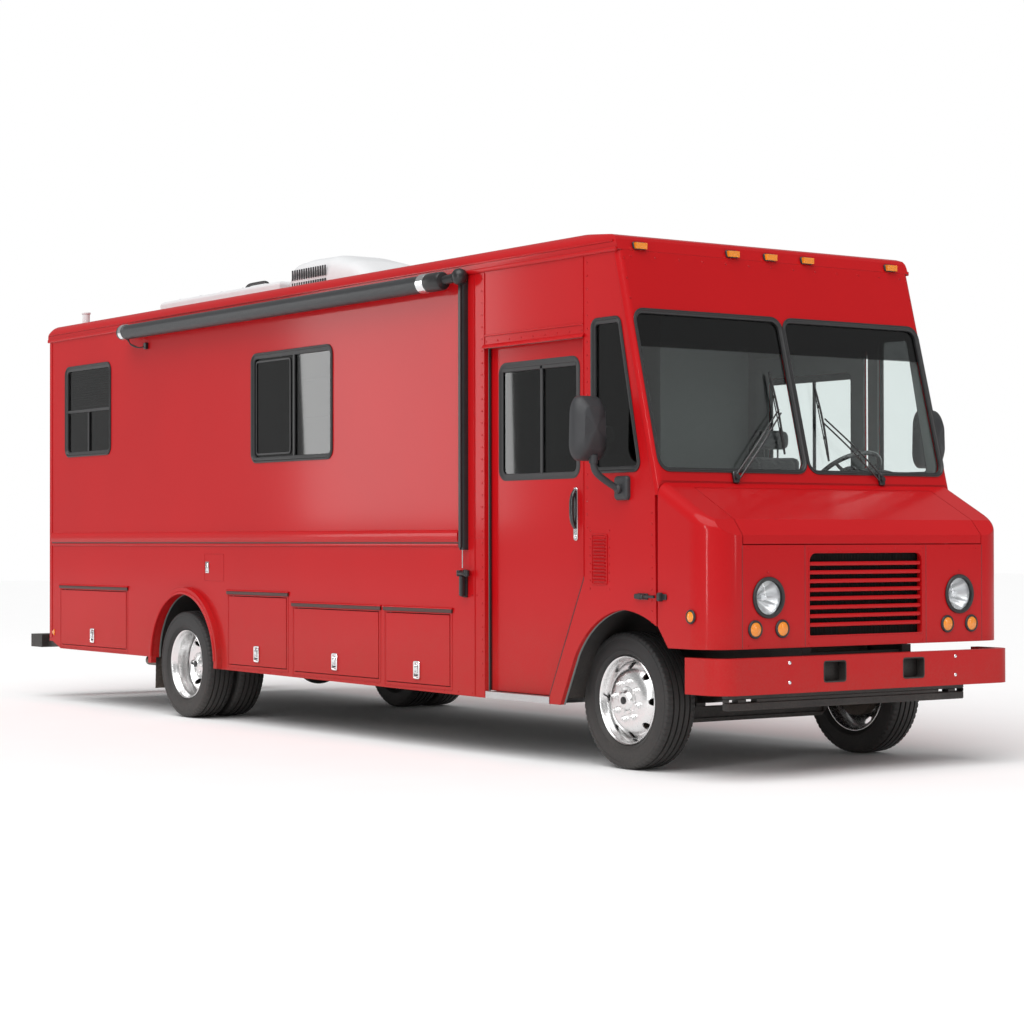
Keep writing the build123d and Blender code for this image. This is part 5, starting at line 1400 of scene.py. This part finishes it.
def holdDowns(name, side):
    # rubber draw latch across the nose's seam: keeper on the nose, handle and strap on the body
    z = 1.024
    x = side * wallX
    seam = noseRearY + 0.003
    foot = sidePlace(side, seam + 0.130, z)
    base = capped(roundLoop(0.095, 0.036, 0.010), [(0, -0.001), (0, 0.006), (-0.003, 0.009)], foot)
    barrel = capped(circleLoop(0.013, 20), [(0, 0), (0, 0.022), (-0.003, 0.025)],
                    sidePlace(side, seam + 0.115, z, wallX + 0.006))
    strapPath = np.array([(x + side * 0.018, seam + 0.115, z), (x + side * 0.020, seam + 0.06, z),
                          (x + side * 0.019, seam + 0.008, z)])
    strap = tube(smoothPath(strapPath, 16), 0.0085, 12, axisX, 0.8)
    tab = capped(roundLoop(0.055, 0.030, 0.010), [(0, -0.004), (0, 0.004), (-0.003, 0.007)],
                 sidePlace(side, seam + 0.168, z, wallX + 0.012))
    makePiece(f"nose_latch_{name}", joined(base, barrel, strap, tab), rubber, "vehicle")
    hook = sidePlace(side, seam - 0.050, z)
    plate = capped(roundLoop(0.070, 0.034, 0.010), [(0, -0.001), (0, 0.006), (-0.003, 0.009)], hook)
    horn = capped(roundLoop(0.030, 0.050, 0.010), [(0, 0), (0, 0.018), (-0.004, 0.024)],
                  sidePlace(side, seam - 0.036, z, wallX + 0.004))
    makePiece(f"nose_keeper_{name}", joined(plate, horn), rubber, "nose")


def bumperDetails():
    # rounded slot linings with their backs, and bolt heads
    low, high = corner("front_bumper")
    linings = []
    for s in (-1, 1):
        place = ((s * 0.311, low[1], 0.599), axisX, axisZ, -axisY)
        linings.append(carried(roundLoop(0.168, 0.116, 0.016), [(0.0045, -0.0004), (0.003, 0.0015), (-0.003, 0.001),
                               (-0.004, -0.058), (0.0, -0.058), (0.0, -0.0004)], place))
    backs = [block((s * 0.311 - 0.10, low[1] + 0.060, 0.52), (s * 0.311 + 0.10, low[1] + 0.064, 0.68)) for s in (-1, 1)]
    makePiece("bumper_slot_linings", joined(*linings, *backs), blackSteel, "vehicle", 50)
    heads = [dome(0.011, 0.006, ((s * 0.654, low[1], z), axisX, axisZ, -axisY), 14)
             for s in (-1, 1) for z in (0.547, 0.657)]
    makePiece("bumper_bolts", joined(*heads), chrome, "vehicle", 60)
    # crossmember behind the bumper: two bars and the webs between its slots
    y0, y1, half = low[1] + 0.20, low[1] + 0.26, 0.93
    bars = [block((-half, y0, z0), (half, y1, z1), 0.006) for z0, z1 in ((0.385, 0.432), (0.448, 0.520))]
    edges = [half, 0.925, 0.860, 0.800, 0.720]
    webs = [block((s * edges[0], y0 + 0.002, 0.43), (s * edges[1], y1 - 0.002, 0.45)) for s in (-1, 1)]
    webs += [block((s * edges[2], y0 + 0.002, 0.43), (s * edges[3], y1 - 0.002, 0.45)) for s in (-1, 1)]
    webs += [block((-edges[4], y0 + 0.002, 0.43), (edges[4], y1 - 0.002, 0.45))]
    stays = [block((s * 0.40 - 0.035, y0 + 0.01, 0.43), (s * 0.40 + 0.035, y1 - 0.01, 0.60)) for s in (-1, 1)]
    makePiece("front_crossmember", joined(*bars, *webs, *stays), blackSteel, "vehicle")


headlamps()
turnLamps()
grille()
panelSeams()
bumperDetails()
for sideName, sideSign in sides.items():
    holdDowns(sideName, sideSign)


def clearanceLamps():
    # black foot and ribbed lens cover on each clearance lamp
    feet = []
    for low, high in lumps("body_lamps", 0, lambda c: c[1] < 0 and c[2] > 2.9):
        mid = (low + high) / 2
        place = slantPlace(mid[0], mid[2], 0.0)
        feet.append(carried(roundLoop(0.096, 0.046, 0.012), [(0.0, -0.001), (0.0, 0.008), (-0.004, 0.012),
                            (-0.008, 0.010), (-0.008, -0.001)], place))
    makePiece("clearance_lamp_feet", joined(*feet), rubber, "vehicle")
    rows = [rivetRow(frontPoint(-1.08, 2.995), frontPoint(1.08, 2.995), 0.18, frontOut),
            rivetRow(frontPoint(-1.135, 1.80), frontPoint(-1.135, 2.98), 0.12, frontOut),
            rivetRow(frontPoint(1.135, 1.80), frontPoint(1.135, 2.98), 0.12, frontOut)]
    makePiece("rivets_front", joined(*rows), redTrim, "vehicle", 60)


clearanceLamps()
print("nose and lamps made")


# ---- wipers

def wipers():
    # each arm is a pair of thin rods from a pivot to the middle of the blade, lying just off the glass
    look = {"pivotZ": 1.706, "off": 0.020, "rod": 0.0050}
    arms, blades = [], []
    for pivotX, tipX, bladeLow, bladeHigh in ((-0.585, -0.172, 1.850, 2.345), (0.576, 0.172, 1.815, 2.290)):
        lean, armTop = -0.004, bladeLow + 0.51 * (bladeHigh - bladeLow)
        d = np.sign(tipX - pivotX)
        start, end = frontPoint(pivotX, look["pivotZ"], look["off"]), frontPoint(tipX, armTop, look["off"] + 0.012)
        across = np.array((0.016 * d, 0, -0.018))
        for shift in (-0.5, 0.9):
            first, last = start + shift * across, end + 0.8 * shift * across
            bend = (first + last) / 2 + frontOut * 0.012
            arms.append(tube(smoothPath([first, bend, last], 14), look["rod"], 10))
        arms.append(tube(np.array([start - frontOut * 0.004, start + frontOut * 0.010]), 0.017, 16))
        arms.append(capped(roundLoop(0.044, 0.075, 0.016), [(0, 0), (0, 0.012), (-0.005, 0.017)],
                           slantPlace(pivotX, look["pivotZ"], 0.002)))
        low, high = frontPoint(tipX - lean, bladeLow), frontPoint(tipX + lean, bladeHigh)
        line = np.linspace(low, high, 22)
        t = np.linspace(-1, 1, 22)
        spine = line + frontOut * (0.006 + 0.014 * (1 - t**2))[:, None]
        blades.append(tube(spine, 0.0045 + 0.002 * (1 - t**2), 8))
        blades.append(tube(line + frontOut * 0.001, 0.0032, 8, axisZ, 1.2))
        claws = np.array([-0.8, -0.4, 0.4, 0.8])
        spots = (low + high) / 2 + (high - low) / 2 * claws[:, None]
        for spot in spots:
            blades.append(block(spot + (-0.006, -0.012, -0.010), spot + (0.006, 0.0, 0.010), 0.002))
    makePiece("wiper_arms", joined(*arms), glossBlack, "vehicle", replaced=["wipers"])
    makePiece("wiper_blades", joined(*blades), rubber, "vehicle")


wipers()


# ---- mirrors

def mirror(name, side):
    # housing is a rounded box: |x|^p + |z|^p <= 1 sections that shrink towards the front as a bowl
    head = {"x": 1.366, "halfX": 0.124, "low": 1.800, "high": 2.175, "front": -0.205, "rear": -0.098}
    halfZ = (head["high"] - head["low"]) / 2
    midZ = (head["high"] + head["low"]) / 2
    rows = np.linspace(0, 1, 16)
    size = 1 - 0.42 * (1 - np.sin(rows * np.pi / 2)) ** 1.5
    size[0] = 0.05
    loop = roundLoop(2, 2, 0.55, 10)[0]
    y = station(head["front"]) + (head["rear"] - head["front"]) * rows**0.8
    taper = 1 - 0.10 * (loop[:, 1] + 1) / 2
    x = side * head["x"] + head["halfX"] * size[:, None] * (loop[:, 0] * taper)[None]
    z = midZ + halfZ * size[:, None] * loop[:, 1][None]
    points = np.stack([x, np.broadcast_to(y[:, None], x.shape), z], -1)
    rim = points[-1:] * (1, 1, 1)
    centre = np.array((side * head["x"], y[-1], midZ))
    lip = centre + (rim - centre) * (0.90, 1, 0.94)
    sunk = lip - (0, 0.012, 0)
    rows3 = np.concatenate([points, lip, sunk])
    n, m = rows3.shape[:2]
    poles = np.array([(side * head["x"], y[0] - 0.001, midZ), (side * head["x"], y[-1] - 0.012, midZ)])
    i = np.arange(m)
    k = (i + 1) % m
    first = np.stack([i, k, np.full(m, n * m)], -1)
    last = np.stack([k + (n - 1) * m, i + (n - 1) * m, np.full(m, n * m + 1)], -1)
    shell = (np.concatenate([rows3.reshape(-1, 3), poles]), [gridFaces(n, m, False, True), first, last])
    arm = smoothPath([(side * 1.350, station(-0.150), 1.830), (side * 1.348, station(-0.152), 1.765),
                      (side * 1.325, station(-0.160), 1.722), (side * 1.255, station(-0.175), 1.672),
                      (side * 1.205, station(-0.195), 1.640)], 30)
    stem = [(side * 1.350, station(-0.150), z) for z in (1.785, 1.835)]
    collar = tube(stem, 0.026, 20, axisX)
    foot = capped(roundLoop(0.125, 0.140, 0.024), [(0, -0.001), (0, 0.018), (-0.006, 0.026), (-0.02, 0.030)],
                  sidePlace(side, station(-0.198), 1.645))
    knob = capped(circleLoop(0.028, 24), [(0, 0), (0, 0.030), (-0.010, 0.040)],
                  sidePlace(side, station(-0.196), 1.640, wallX + 0.02))
    makePiece(f"mirror_{name}", joined(shell, tube(arm, 0.020, 16), collar, foot, knob), moulded, "vehicle",
              40, replaced=["mirrors"])
    glass = capped(roundLoop(0.200, 0.325, 0.050), [(0, 0), (0, 0.002), (-0.001, 0.003)],
                   ((side * head["x"], y[-1] - 0.011, midZ), axisX, axisZ, axisY))
    makePiece(f"mirror_glass_{name}", glass, chrome, "vehicle")


for sideName, sideSign in sides.items():
    mirror(sideName, sideSign)
print("wipers and mirrors made")


# ---- roof

def airUnit():
    # lofted cover: along Y the half width and the height follow two curves, and each section is a rounded arch
    low, high = corner("air_conditioner")
    roofZ = low[2] - 0.02
    t = np.linspace(0, 1, 40)
    height = (high[2] - low[2]) * np.interp(t, [0, 0.04, 0.25, 0.50, 0.80, 0.95, 0.99, 1], [0.10, 0.40, 0.78, 0.985,
                                                                                         1.0, 0.96, 0.70, 0.25])
    width = 0.350 * np.interp(t, [0, 0.06, 0.3, 0.92, 1], [0.72, 0.86, 0.97, 1.0, 0.93])
    a = np.linspace(0, np.pi, 33)
    across = np.sign(np.cos(a)) * np.abs(np.cos(a)) ** 0.42
    rise = np.sin(a) ** 0.50
    x = width[:, None] * across[None]
    z = roofZ + 0.02 + height[:, None] * rise[None]
    z[:, 0] = z[:, -1] = roofZ
    y = np.broadcast_to((low[1] + (high[1] - low[1]) * t)[:, None], x.shape)
    points = np.stack([x, y, z], -1)
    n, m = x.shape
    ends = [np.arange(m)[None], (np.arange(m) + (n - 1) * m)[None, ::-1]]
    shell = (points.reshape(-1, 3), [gridFaces(n, m, False, True)] + ends)
    makePiece("air_unit_cover", shell, whiteShell, "vehicle", 45, replaced=["air_conditioner"])
    ys = np.linspace(low[1] + 0.60, high[1] - 0.10, 15)
    slots = []
    for side in (-1, 1):
        for z0, z1 in ((3.26, 3.34), (3.36, 3.44)):
            slot = block((-0.004, -0.008, z0), (0.004, 0.008, z1), 0.002)
            slots.append(copies(slot, np.stack([np.full(15, side * 0.3465), ys, np.zeros(15)], -1)))
    makePiece("air_unit_louvres", joined(*slots), moulded, "vehicle")
    skirt = carried(roundLoop(0.66, high[1] - low[1] - 0.1, 0.05), [(0.03, -0.02), (0.03, 0.006), (0.0, 0.010),
                    (0.0, -0.02)], ((0, (low[1] + high[1]) / 2, low[2] + 0.004), axisX, axisY, axisZ))
    makePiece("air_unit_seal", skirt, rubber, "vehicle")


def fairingDetails():
    # seam ribs and a black grab handle on the low roof fairing, and a cap on the vent pipe
    (lowPipe, highPipe), (low, high) = lumps("roof_hatch")
    ribs = [block((-0.30, y - 0.012, high[2] - 0.002), (0.30, y + 0.012, high[2] + 0.006), 0.004)
            for y in np.linspace(low[1] + 0.30, high[1] - 0.30, 5)]
    makePiece("fairing_ribs", joined(*ribs), whiteShell, "vehicle")
    y0 = station(5.58)
    t = np.linspace(-1, 1, 30)
    bow = high[2] - 0.004 + 0.034 * (1 - np.abs(t) ** 6)
    path = np.stack([np.full(30, -0.24), y0 + 0.19 + 0.19 * t, bow], -1)
    makePiece("fairing_handle", tube(path, 0.013, 12, axisX), glossBlack, "vehicle")
    mid = (lowPipe + highPipe) / 2
    cap = turned([(0.0, 0.0), (0.036, -0.004), (0.038, -0.012), (0.034, -0.020), (0.0, -0.020)],
                 ((mid[0], mid[1], highPipe[2] + 0.006), axisX, axisY, axisZ), 32, False)
    makePiece("vent_pipe_cap", cap, whiteShell, "vehicle")


airUnit()
fairingDetails()


def awning():
    # roll with a slow spiral step, end castings, bright bands and the folded front arm with its crank
    look = {"x": -1.265, "z": 2.990, "radius": 0.058, "start": 1.530, "end": 6.110}
    y0, y1 = station(look["start"]), station(look["end"])
    a = np.linspace(0, 2 * np.pi, 64, endpoint=False)
    t = np.linspace(0, 1, 120)
    wrinkle = 0.0010 * np.sin(9 * a)[None] * np.sin(26 * np.pi * t)[:, None] ** 2
    spiral = 0.0030 * (a / (2 * np.pi))[None]
    sag = 0.0015 * np.sin(np.pi * t)[:, None]
    r = look["radius"] - 0.003 + spiral + wrinkle
    x = look["x"] + r * np.cos(a)[None]
    z = look["z"] - sag + r * np.sin(a)[None]
    y = np.broadcast_to((y0 + 0.05 + (y1 - y0 - 0.10) * t)[:, None], x.shape)
    n, m = x.shape
    ends = [np.arange(m)[None], (np.arange(m) + (n - 1) * m)[None, ::-1]]
    roll = (np.stack([x, y, z], -1).reshape(-1, 3), [gridFaces(n, m, False, True)] + ends)
    makePiece("awning_roll", roll, vinylRoll, "vehicle", 40, replaced=["awning"])
    forward = ((look["x"], y0, look["z"]), axisX, axisZ, -axisY)
    backward = ((look["x"], y1, look["z"]), axisX, axisZ, axisY)
    endCap = [(0.0, 0.012), (0.030, 0.010), (0.052, 0.002), (0.060, -0.012), (0.061, -0.150), (0.055, -0.155),
              (0.0, -0.156)]
    rearCap = [(0.0, 0.006), (0.040, 0.004), (0.058, -0.004), (0.060, -0.018), (0.060, -0.040), (0.0, -0.042)]
    castings = joined(turned(endCap, forward, 40, False), turned(rearCap, backward, 40, False))
    makePiece("awning_end_caps", castings, armBlack, "vehicle")
    bands = [turned([(0.060, -0.155), (0.0635, -0.157), (0.0635, -0.232), (0.060, -0.234)], forward, 48),
             turned([(0.0585, -0.032), (0.0625, -0.034), (0.0625, -0.078), (0.0585, -0.080)], backward, 48)]
    makePiece("awning_bands", joined(*bands), chrome, "vehicle")
    pivotY = station(1.410)
    section = [(0.000, -0.024), (0.034, -0.024), (0.040, -0.020), (0.040, -0.010), (0.034, -0.008), (0.034, 0.008),
               (0.040, 0.010), (0.040, 0.020), (0.034, 0.024), (0.000, 0.024)]
    arm = extruded(section, ((-wallX, pivotY + 0.008, 1.285), -axisX, axisY, axisZ), 1.715)
    inner = extruded([(0.034, -0.014), (0.052, -0.012), (0.052, 0.012), (0.034, 0.014)],
                     ((-wallX, pivotY + 0.008, 1.30), -axisX, axisY, axisZ), 1.66)
    ball = turned([(0.0, 0.050), (0.030, 0.044), (0.048, 0.026), (0.054, 0.0), (0.048, -0.026), (0.030, -0.044),
                   (0.0, -0.050)], ((-1.222, pivotY, 3.008), axisY, axisZ, -axisX), 32, False)
    linkPath = np.array([(-1.222, pivotY, 3.008), (-1.245, pivotY + 0.07, 3.000), (-1.262, y0 + 0.01, 2.992)])
    link = tube(smoothPath(linkPath, 12), 0.030, 16)
    bracket = block((-1.245, pivotY - 0.02, 2.975), (-wallX + 0.0005, pivotY + 0.05, 3.030), 0.006)
    rearBracket = block((-1.30, y1 - 0.005, 2.955), (-wallX + 0.0005, y1 + 0.035, 3.020), 0.006)
    makePiece("awning_arm", joined(arm, inner, ball, link, bracket, rearBracket), armBlack, "vehicle", 40)
    rod = tube(np.array([(-1.196, pivotY + 0.008, 1.290), (-1.196, pivotY + 0.008, 1.170)]), 0.004, 8, axisX)
    shaft = tube(np.array([(-1.196, pivotY + 0.010, 1.075), (-1.196, pivotY + 0.010, 1.150)]), 0.009, 12, axisX)
    makePiece("awning_crank_rod", joined(rod, shaft), chrome, "vehicle")
    cross = block((-1.220, pivotY - 0.05, 1.120), (-1.180, pivotY + 0.045, 1.150), 0.010)
    knobs = [tube(np.array([(-1.199, y, 1.118), (-1.199, y, 1.156)]), 0.018, 16, axisX)
             for y in (pivotY - 0.045, pivotY + 0.04)]
    stem = block((-1.215, pivotY - 0.010, 0.990), (-1.182, pivotY + 0.026, 1.125), 0.009)
    footPlate = block((-1.184, pivotY - 0.014, 0.985), (-wallX + 0.0005, pivotY + 0.030, 1.160), 0.004)
    makePiece("awning_crank", joined(cross, *knobs, stem, footPlate), armBlack, "vehicle")
    lever = smoothPath([(-1.262, y1 - 0.10, 2.930), (-1.255, y1 - 0.13, 2.885), (-1.215, y1 - 0.19, 2.862),
                        (-1.185, y1 - 0.235, 2.875)], 20)
    fork = smoothPath([(-1.262, y1 - 0.075, 2.930), (-1.250, y1 - 0.12, 2.895), (-1.215, y1 - 0.19, 2.862)], 16)
    lug = block((-1.192, y1 - 0.255, 2.850), (-wallX + 0.0005, y1 - 0.215, 2.900), 0.003)
    makePiece("awning_travel_lock", joined(tube(lever, 0.0045, 8), tube(fork, 0.0035, 8), lug), armBlack, "vehicle")


awning()
print("roof made")


# ---- cab

def stuffed(name, low, high, channels, axis, material, limit=0.016):
    # cushion: a rounded block, remeshed, swelled as cloth under pressure, then sewn channels pressed in by a
    # row of bell curves
    low, high = np.array(low, float), np.array(high, float)
    size = high - low
    inset = 0.35 * limit
    loop = roundLoop(size[0] - 2 * inset, size[1] - 2 * inset, 0.045, 6)
    h = size[2] - 2 * inset
    e = min(0.035, 0.4 * h)
    profile = [(-e, 0), (-0.3 * e, 0.3 * e), (0, e), (0, h - e), (-0.3 * e, h - 0.3 * e), (-e, h)]
    origin = (low + high) / 2 - (0, 0, h / 2)
    shape = capped(loop, profile, (origin, axisX, axisY, axisZ))
    piece = makePiece(name, shape, material, "vehicle", 180)
    remesh = piece.modifiers.new("remesh", "REMESH")
    remesh.mode = "VOXEL"
    remesh.voxel_size = 0.011
    bpy.context.view_layer.update()
    done = piece.evaluated_get(bpy.context.evaluated_depsgraph_get())
    mesh = bpy.data.meshes.new_from_object(done)
    piece.modifiers.clear()
    piece.data = mesh
    rest = np.array([v.co for v in mesh.vertices], float)
    cloth = piece.modifiers.new("cloth", "CLOTH")
    cloth.settings.use_pressure = True
    cloth.settings.uniform_pressure_force = 4.0
    cloth.settings.effector_weights.gravity = 0.0
    cloth.settings.quality = 5
    for step in range(1, 16):
        bpy.context.scene.frame_set(step)
    done = piece.evaluated_get(bpy.context.evaluated_depsgraph_get())
    swelled = np.array([v.co for v in done.data.vertices], float)
    piece.modifiers.clear()
    bpy.context.scene.frame_set(1)
    move = swelled - rest
    far = np.linalg.norm(move, axis=1, keepdims=True)
    move *= np.minimum(1, limit / np.maximum(far, 1e-9))
    points = rest + move
    middle = (low + high) / 2
    along = points[:, axis] - middle[axis]
    groove = sum(np.exp(-(((along - c) / 0.008) ** 2)) for c in channels)
    thin = int(np.argmin(size))
    points[:, thin] -= 0.010 * groove * np.sign(points[:, thin] - middle[thin])
    mesh.vertices.foreach_set("co", points.astype(np.float32).ravel())
    mesh.polygons.foreach_set("use_smooth", np.ones(len(mesh.polygons), bool))
    mesh.update()
    soft = piece.modifiers.new("finish", "SUBSURF")
    soft.levels = soft.render_levels = 1
    return piece


def seats():
    for name, side in sides.items():
        low, high = sideBox("seats", side)
        x0, x1 = low[0], high[0]
        y0, y1 = low[1], high[1]
        cushion = stuffed(f"seat_cushion_{name}", (x0, y0, 1.300), (x1, y0 + 0.49, 1.440), (-0.16, 0.16), 0, seatCloth)
        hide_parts("seats")
        stuffed(f"seat_back_{name}", (x0 + 0.01, y1 - 0.125, 1.400), (x1 - 0.01, y1 - 0.004, 1.900), (-0.15, 0.15), 0,
                seatCloth)
        mid = (x0 + x1) / 2
        stuffed(f"seat_headrest_{name}", (mid - 0.14, y1 - 0.110, 1.930), (mid + 0.14, y1 - 0.012, 2.060), (), 0,
                seatCloth, 0.010)
        posts = [tube(np.array([(mid + d, y1 - 0.06, 1.87), (mid + d, y1 - 0.06, 1.96)]), 0.006, 10, axisX)
                 for d in (-0.06, 0.06)]
        base = block((x0 + 0.08, station(0.19), 1.002), (x1 - 0.08, station(0.50), 1.275), 0.02)
        pan = block((x0 + 0.03, station(0.15), 1.272), (x1 - 0.03, station(0.58), 1.303), 0.012)
        makePiece(f"seat_frame_{name}", joined(base, pan, *posts), moulded, "vehicle")


def steeringWheel():
    # rim is a ring of the section carried about the tilted column axis, with three bowed spokes and a pad
    column = frame["record"]["behaviour"]["joints"]
    turn = next(j for j in column if j["name"] == "steering_wheel_turn")
    origin, axis = np.array(turn["pos_m"], float), np.array(turn["axis"], float)
    u = axisX
    v = np.cross(axis, u)
    place = (origin, u, v, axis)
    a = np.linspace(0, 2 * np.pi, 12, endpoint=False)
    rim = turned(np.stack([0.215 + 0.015 * np.cos(a), 0.015 * np.sin(a)], -1), place, 72)
    pad = capped(circleLoop(0.0, 40), [(0.045, -0.020), (0.062, -0.010), (0.066, 0.006), (0.055, 0.018), (0.02, 0.022)],
                 place)
    spokes = []
    for angle in np.radians((90, 210, 330)):
        t = np.linspace(0.05, 0.207, 12)
        path = np.stack([t * np.cos(angle), t * np.sin(angle), -0.012 * np.sin((t - 0.05) * 20)], -1)
        spokes.append(tube(toWorld(path, place), 0.010 + 0.006 * (1 - t / 0.21), 10, axis, 0.6))
    shaft = turned([(0.0, -0.020), (0.022, -0.020), (0.022, -0.112), (0.0, -0.112)], place, 24, False)
    makePiece("steering_wheel_rim", joined(rim, pad, *spokes, shaft), glossBlack, "steering_wheel",
              replaced=["steering_wheel"])


def dashDetails():
    # padded top with a rounded nose, hooded instruments and two air vents
    y0, y1 = station(-0.465), station(-0.150)
    section = [(0.0, 0.0), (0.325, 0.0), (0.345, -0.015), (0.350, -0.045), (0.335, -0.060), (0.320, -0.060),
               (0.320, -0.002), (0.0, -0.002)]
    pad = extruded(section, ((-1.075, y0, 1.668), axisY, axisZ, axisX), 2.15)
    a = np.linspace(0, np.pi, 20)
    hood = np.concatenate([np.stack([0.26 * np.cos(a), 0.11 * np.sin(a)], -1),
                           np.stack([-0.235 * np.cos(a), 0.09 * np.sin(a)], -1)])
    cowl = extruded(hood, ((0.715, y0 + 0.13, 1.668), axisX, axisZ, axisY), 0.17)
    makePiece("dash_pad", joined(pad, cowl), dashTop, "vehicle", 40)
    dials = [turned([(0.0, 0.0), (r, 0.0), (r + 0.004, 0.006), (r + 0.004, 0.012), (r - 0.002, 0.012), (r - 0.003, 0.004),
                     (0.0, 0.004)], ((0.715 + dx, y0 + 0.15, 1.715), axisX, axisZ, axisY), 32, False)
             for dx, r in ((-0.10, 0.045), (0.10, 0.045), (0.0, 0.030))]
    makePiece("dash_dials", joined(*dials), glossBlack, "vehicle")
    slats = [block((x - 0.07, y1 - 0.002, z), (x + 0.07, y1 + 0.010, z + 0.006), 0.002)
             for x in (-0.80, -0.25, 0.25) for z in np.linspace(1.53, 1.60, 5)]
    makePiece("dash_vents", joined(*slats), moulded, "vehicle")


seats()
steeringWheel()
dashDetails()
print("cab made")


# ---- underside

def springs():
    # each leaf is a strip bent to a parabola, z = seat + rise (s / half)^2, and lower leaves are shorter
    look = {"leaf": 0.009, "gap": 0.0005, "width": 0.062, "rise": 0.100}
    shapes = []
    for axle, seat, half in ((axleY, 0.372, 0.600), (rearAxleY, 0.470, 0.700)):
        for side in (-1, 1):
            for i in range(5):
                reach = half * (1 - 0.15 * (4 - i)) if i < 4 else half
                s = np.linspace(-reach, reach, 30)
                bottom = seat + look["rise"] * (s / half) ** 2 + i * (look["leaf"] + look["gap"])
                x0, x1 = side * 0.444, side * (0.444 + look["width"])
                rows = np.stack([np.stack([np.full(30, x), axle + s, z], -1) for x, z in
                                 ((x0, bottom), (x1, bottom), (x1, bottom + look["leaf"]), (x0, bottom + look["leaf"]))], 1)
                ends = [np.arange(4)[None, ::-1], (np.arange(4) + 29 * 4)[None]]
                shapes.append((rows.reshape(-1, 3), [gridFaces(30, 4, False, True)] + ends))
            for end in (-1, 1):
                y = axle + end * half
                shapes.append(tube(np.array([(side * 0.435, y, seat + look["rise"] + 0.02), (side * 0.512, y,
                              seat + look["rise"] + 0.02)]), 0.026, 18))
                shapes.append(block((side * 0.431, y - 0.03, seat + look["rise"] + 0.02), (side * 0.440, y + 0.03, 0.640)))
                shapes.append(block((side * 0.500, y - 0.03, seat + look["rise"] + 0.02), (side * 0.509, y + 0.03, 0.640)))
                shapes.append(block((side * 0.431, y - 0.03, 0.60), (side * 0.509, y + 0.03, 0.640)))
            for dy in (-0.05, 0.05):
                shapes.append(block((side * 0.438, axle + dy - 0.008, seat - 0.02), (side * 0.512, axle + dy + 0.008,
                              seat + 0.062), 0.004))
    makePiece("leaf_packs", joined(*shapes), blackSteel, "vehicle", 40, replaced=["leaf_springs"])


def underDetails():
    # tank straps, shock absorbers, differential cover and its bolts
    low, high = corner("fuel_tank")
    straps = []
    for y in (low[1] + 0.16, high[1] - 0.16):
        loop = roundLoop(high[0] - low[0] + 0.006, high[2] - low[2] + 0.006, 0.02)
        straps.append(carried(loop, [(0.0, -0.022), (0.003, -0.022), (0.003, 0.022), (0.0, 0.022)],
                              ((0, y, (low[2] + high[2]) / 2), axisX, axisZ, axisY)))
    makePiece("tank_straps", joined(*straps), blackSteel, "vehicle")
    shocks = []
    for y, lean in ((axleY + 0.10, 0.10), (rearAxleY - 0.13, -0.10)):
        for side in (-1, 1):
            foot, top = np.array((side * 0.535, y, 0.40)), np.array((side * 0.535, y + lean, 0.72))
            mid = foot + 0.5 * (top - foot)
            shocks += [tube(np.array([foot, mid]), 0.028, 18), tube(np.array([mid, top]), 0.034, 18)]
    makePiece("shock_absorbers", joined(*shocks), glossBlack, "vehicle")
    place = ((0, rearAxleY + 0.165, axleZ), axisX, axisZ, axisY)
    cover = turned([(0.0, 0.060), (0.080, 0.052), (0.120, 0.028), (0.130, 0.004), (0.150, 0.0), (0.150, -0.012),
                    (0.0, -0.012)], place, 48, False)
    bolts = nutRing(place, 10, 0.140, 0.007, 0.006, 0.001)
    makePiece("differential_cover", joined(cover, bolts), castIron, "vehicle")


def mudflap(name, side):
    # rubber sheet, hung: a grid bowed back by a low sine and curled a little at the foot
    low, high = sideBox("mudflaps", side)
    low[0], high[0] = sorted((side * 0.700, side * 1.150))
    u, v = np.linspace(0, 1, 22), np.linspace(0, 1, 26)
    x = low[0] + (high[0] - low[0]) * u
    z = high[2] + (low[2] - high[2]) * v
    bow = 0.006 * np.sin(np.pi * u)[:, None] * v[None] + 0.010 * v[None] ** 3
    y = (low[1] + high[1]) / 2 + bow
    front = np.stack([np.broadcast_to(x[:, None], y.shape), y, np.broadcast_to(z[None], y.shape)], -1)
    n, m = y.shape
    points = np.concatenate([front.reshape(-1, 3), front.reshape(-1, 3) + (0, 0.007, 0)])
    face = gridFaces(n, m)
    rim = np.concatenate([np.arange(m), np.arange(1, n) * m + m - 1, (n - 1) * m + np.arange(m - 2, -1, -1),
                          np.arange(n - 2, 0, -1) * m])
    edge = np.stack([rim, np.roll(rim, -1), np.roll(rim, -1) + n * m, rim + n * m], -1)
    flap = makePiece(f"mudflap_{name}", (points, [face, face[:, ::-1] + n * m, edge]), flapRubber, "vehicle",
                     40, replaced=["mudflaps"])
    bar = block((low[0] - 0.01, low[1] - 0.012, high[2] - 0.03), (high[0] + 0.01, low[1] - 0.002, high[2] + 0.01))
    makePiece(f"mudflap_bar_{name}", bar, blackSteel, "vehicle")


springs()
underDetails()
for sideName, sideSign in sides.items():
    mudflap(sideName, sideSign)
print("underside made")
